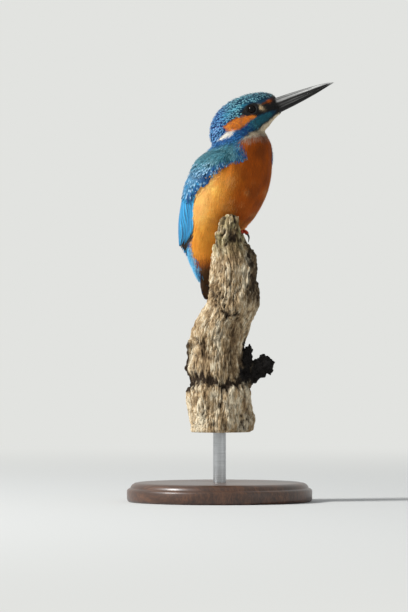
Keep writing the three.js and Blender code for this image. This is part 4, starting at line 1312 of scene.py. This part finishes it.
def bill_half(name, upper):
    """One half of the bill, from its root to its tip, flat along the mouth line."""
    rings, worn_and_highlit = [], []
    for x in np.linspace(BILL[0, 0], BILL[-1, 0], BILL_STATIONS):
        ridge, keel, half = (np.interp(x, BILL[:, 0], BILL[:, k]) for k in (1, 2, 3))
        middle, tall = (ridge + keel) / 2, (ridge - keel) / 2
        mouth = BILL[-1, 1:3].mean() - (BILL[-1, 0] - x) * math.tan(MOUTH_SLOPE)
        gap = min(MOUTH_GAP, tall * 0.3) * (1 if upper else -1)
        start = math.asin(np.clip((mouth + gap - middle) / tall, -0.98, 0.98))
        ends = (start, math.pi - start) if upper else (math.pi - start, 2 * math.pi + start)
        ring = []
        for angle in np.linspace(*ends, HALF_AROUND):
            y, z = half * math.cos(angle), middle + tall * math.sin(angle)
            if upper:
                ahead, above = (x - NOSTRIL_X) / NOSTRIL_LONG, (z - middle - 0.30 * tall) / NOSTRIL_HIGH
                y -= math.copysign(NOSTRIL_DEEP * math.exp(-(ahead**2) - above**2), y)
                y *= 1 - 0.10 * math.sin(angle) ** 2
            ring.append([x, y, z])
        inner = np.linspace(ring[-1], ring[0], MOUTH_AROUND + 2)[1:-1]
        rings.append(HEAD + np.concatenate([ring, inner]) @ HEAD_AXES)
        worn_and_highlit += horn_wear_and_highlight(x, upper) + [0.0] * MOUTH_AROUND
    mesh = tube(name, rings)
    paint(mesh, "horn_wear_and_highlight", worn_and_highlit + [0.0, 0.0])
    return mesh


horn, tree, shader = new_finish("bill_horn", Specular_IOR_Level=0.25)
along_bill = step(tree, "TexCoord").outputs["Object"]
turned_in = step(tree, "Mapping", {"Vector": along_bill, "Rotation": (0, lift, -HEAD_TURN)})
drawn = step(tree, "Mapping", {"Vector": turned_in.outputs["Vector"], "Scale": (70, 1500, 1500)})
streaks = step(tree, "TexNoise", {"Vector": drawn.outputs["Vector"], "Scale": 1, "Detail": 4}).outputs["Fac"]
black = stained(tree, streaks, (0.35, tint(12, 11, 11)), (0.58, tint(24, 23, 22)), (0.75, tint(58, 56, 53)))
# Pale horn for the lips and tip, and the grey of the painted highlight.
pale_horn_and_highlight = stained(
    tree, streaks, (0.3, tint(124, 124, 123)), (0.5, tint(184, 184, 181)), (0.65, tint(226, 226, 222))
)
rubbed_and_highlit = laid_over(tree, painted(tree, "horn_wear_and_highlight", "Fac"), black, pale_horn_and_highlight)
tree.links.new(rubbed_and_highlit, shader.inputs["Base Color"])
tree.links.new(scaled(tree, streaks, 0, 1, 0.28, 0.5), shader.inputs["Roughness"])
relief(tree, shader, streaks, 0.3, 0.1)
for name, solid, upper in (("bill_top", "bill_upper", True), ("bill_bottom", "bill_lower", False)):
    fit(name, bill_half(name, upper), "bill_horn", horn, solid)

# ----------------------------------------------------------------------------------------------------
# Legs and feet
# Short bare shanks and four toes to a foot in soft coral-red skin, ringed with low scutes. Each toe
# ends in its own hooked black claw, and the toes close over the ledge of the branch.
# ----------------------------------------------------------------------------------------------------
FOOT_X, FOOT_SPREAD = -10.2, 4.4
TOE_R, CLAW_R, CLAW_TIP_R = 1.15, 0.72, 0.12
SHANK_TOP_R, ANKLE_R = 1.9, 1.3
TOE_SCUTES, SHANK_SCUTES = 13, 7
LIMB_AROUND = 20
TOES = [(-24, 7.8, 5), (2, 9, 5.8), (18, 7.6, 5.8), (176, 6, 3)]  # turn, reach, drop


def curve(points, count):
    """A smooth line through points."""
    points = np.array(points, float)
    padded = np.concatenate([[2 * points[0] - points[1]], points, [2 * points[-1] - points[-2]]])
    line = []
    for share in np.linspace(0, len(points) - 1, count):
        k = min(int(share), len(points) - 2)
        t, (a, b, c, d) = share - k, padded[k:k + 4]
        square, cube = 2 * a - 5 * b + 4 * c - d, 3 * b - a - 3 * c + d
        line.append(0.5 * (2 * b + (c - a) * t + square * t**2 + cube * t**3))
    return np.array(line)


def limb(name, line, radii, scutes=0):
    """A round limb along a line, ringed with scutes, rounded at both ends."""
    forward = unit(np.gradient(line, axis=0))
    side = unit(np.cross(forward, [0.05, 1, 0.1]))
    up = np.cross(forward, side)
    turns = np.arange(LIMB_AROUND) * 2 * np.pi / LIMB_AROUND
    share = np.linspace(0, 1, len(line))
    radii = radii * np.sqrt(np.clip(1 - (2 * share - 1) ** 20, 0.02, 1))
    if scutes:
        radii = radii * (0.96 + 0.06 * np.abs(np.sin(share * math.pi * scutes)))
    rings = [
        BIRD + (p + r * (np.cos(turns)[:, None] * s + np.sin(turns)[:, None] * u))
        for p, r, s, u in zip(line, radii, side, up)
    ]
    return tube(name, rings)


def toe_line(sign, turn, reach_out, drop):
    """A toe's middle line, from the ankle over the ledge's edge and down to the claw's tip."""
    way = sign * math.radians(turn)
    places = ((-0.1, -0.4), (0.3, 0.6), (0.6, 1.2), (0.82, -0.02 * drop), (1, -0.45 * drop), (0.94, -drop))
    points = []
    for share, z in places:
        out = reach_out * share
        points.append([FOOT_X + out * math.cos(way), sign * FOOT_SPREAD + out * math.sin(way), z])
    return curve(points, 61)


def joined(name, meshes):
    """Several meshes as one."""
    whole = bmesh.new()
    for mesh in meshes:
        whole.from_mesh(mesh)
    made = bpy.data.meshes.new(name)
    whole.to_mesh(made)
    whole.free()
    return made


coral, tree, shader = new_finish("coral_skin", Roughness=0.5, Subsurface_Weight=0.08, Subsurface_Scale=0.001)
scaly = grain(tree, (900, 900), 1300, 3)
red = stained(tree, scaly, (0.3, tint(160, 44, 24)), (0.55, tint(208, 70, 38)), (0.75, tint(226, 104, 66)))
tree.links.new(red, shader.inputs["Base Color"])
relief(tree, shader, scaly, 0.4, 0.12)
claw_horn, tree, shader = new_finish("claw_horn", Roughness=0.34)
dark_horn = stained(tree, grain(tree, (700, 700), 700), (0.3, tint(20, 18, 18)), (0.7, tint(52, 46, 42)))
tree.links.new(dark_horn, shader.inputs["Base Color"])
for sign, side in ((1, "left"), (-1, "right")):
    toes, claws = [], []
    for turn, reach_out, drop in TOES:
        line = toe_line(sign, turn, reach_out, drop)
        toes.append(limb("toe", line[:40], np.full(40, TOE_R), TOE_SCUTES))
        claws.append(limb("claw", line[36:], np.linspace(CLAW_R, CLAW_TIP_R, 25)))
    line = curve([[-14, sign * 6.4, 7], [-12.2, sign * 5.4, 2.6], [FOOT_X, sign * FOOT_SPREAD, -0.4]], 24)
    shank = limb("shank_" + side, line, np.linspace(SHANK_TOP_R, ANKLE_R, 24), SHANK_SCUTES)
    fit("toes_" + side, joined("toes_" + side, toes), "foot_skin", coral, "foot_" + side)
    fit("claws_" + side, joined("claws_" + side, claws), "foot_skin", claw_horn)
    fit("shank_" + side, shank, "foot_skin", coral, "leg_" + side)

# ----------------------------------------------------------------------------------------------------
# Studio
# The finished model on a plain pale floor that runs off into a pale surround, with a large soft lamp
# from the upper left, a weak one from the right, and even light all round.
# ----------------------------------------------------------------------------------------------------
PALE = tint(226, 227, 224)
FLOOR_RINGS = (300, 800, 1600, 3000, 12000)
FLOOR_AROUND = 96
VIEW_FROM = math.radians(45)  # the camera's turn about the model, from -Y towards +X
VIEW_AWAY = 3.0  # metres from the camera to what it looks at
MIDDLE_RIGHT, MIDDLE_UP = -25.6, -45.6  # the middle of the view, from the bird's own origin


def seen_plainly(tree):
    """1 where the camera or a gloss looks, 0 where light is gathered."""
    paths = step(tree, "LightPath")
    return worked(tree, "MAXIMUM", paths.outputs["Is Camera Ray"], paths.outputs["Is Glossy Ray"])


around = np.arange(FLOOR_AROUND)
floor_points = [[0, 0, 0]] + [
    [radius * math.cos(turn), radius * math.sin(turn), 0]
    for radius in FLOOR_RINGS for turn in around * 2 * np.pi / FLOOR_AROUND
]
floor_mesh = mesh_of(
    "floor", floor_points, rows_joined(len(FLOOR_RINGS), FLOOR_AROUND, True)[:, ::-1] + 1,
    np.stack([np.zeros(FLOOR_AROUND, int), around + 1, (around + 1) % FLOOR_AROUND + 1], -1),
)
floor_mesh.polygons.foreach_set("use_smooth", np.zeros(len(floor_mesh.polygons), bool))
backdrop, tree, shader = new_finish("floor_paint", Roughness=0.9)
shader.inputs["Base Color"].default_value = (*PALE, 1)
place = step(tree, "TexCoord").outputs["Object"]
far = step(tree, "VectorMath", {0: place}, operation="LENGTH").outputs["Value"]
far = step(
    tree, "MapRange", {"Value": far, "From Min": 0.15, "From Max": 1.2}, interpolation_type="SMOOTHSTEP"
).outputs["Result"]
fade = worked(tree, "MULTIPLY", far, seen_plainly(tree))
surround = step(tree, "Emission", {"Color": PALE, "Strength": 1.0}).outputs["Emission"]
mixed = step(tree, "MixShader", {"Fac": fade, 1: shader.outputs["BSDF"], 2: surround})
tree.links.new(mixed.outputs["Shader"], tree.nodes["Material Output"].inputs["Surface"])
floor = bpy.data.objects.new("floor", floor_mesh)
bpy.context.scene.collection.objects.link(floor)
floor_mesh.materials.append(backdrop)

world = bpy.data.worlds.new("studio")
bpy.context.scene.world = world
world.use_nodes = True
tree = world.node_tree
tree.nodes.clear()
seen = seen_plainly(tree)
light = step(tree, "Background", {"Color": tint(236, 240, 246), "Strength": 0.34}).outputs["Background"]
pale_view = step(tree, "Background", {"Color": PALE, "Strength": 1.0}).outputs["Background"]
mixed = step(tree, "MixShader", {"Fac": seen, 1: light, 2: pale_view})
step(tree, "OutputWorld", {"Surface": mixed.outputs["Shader"]})

toward = np.array([math.sin(VIEW_FROM), -math.cos(VIEW_FROM), 0])
rightward = np.array([math.cos(VIEW_FROM), math.sin(VIEW_FROM), 0])
upward = np.array([0, 0, 1])
aim = (BIRD + rightward * MIDDLE_RIGHT + upward * MIDDLE_UP) * MM


def lamp(name, place, size, power):
    """A round soft lamp that shines on what the camera looks at."""
    light = bpy.data.lights.new(name, "AREA")
    light.shape, light.size, light.energy = "DISK", size, power
    piece = bpy.data.objects.new(name, light)
    bpy.context.scene.collection.objects.link(piece)
    piece.location = Vector(place)
    piece.rotation_euler = (Vector(aim) - piece.location).to_track_quat("-Z", "Y").to_euler()


lamp("key", aim - rightward * 1.85 + toward * 0.6 + upward * 1.35, 0.6, 64)
lamp("fill", aim + rightward * 1.5 + toward * 1.2 + upward * 0.4, 1.2, 1.5)
lens = bpy.data.cameras.new("camera")
lens.lens, lens.sensor_width = 282, 36
lens.clip_start, lens.clip_end = 0.05, 60
camera = bpy.data.objects.new("camera", lens)
bpy.context.scene.collection.objects.link(camera)
camera.location = Vector(aim + toward * VIEW_AWAY)
camera.rotation_euler = (math.pi / 2, 0, VIEW_FROM)
bpy.context.scene.camera = camera
bpy.context.scene.view_settings.view_transform = "Standard"
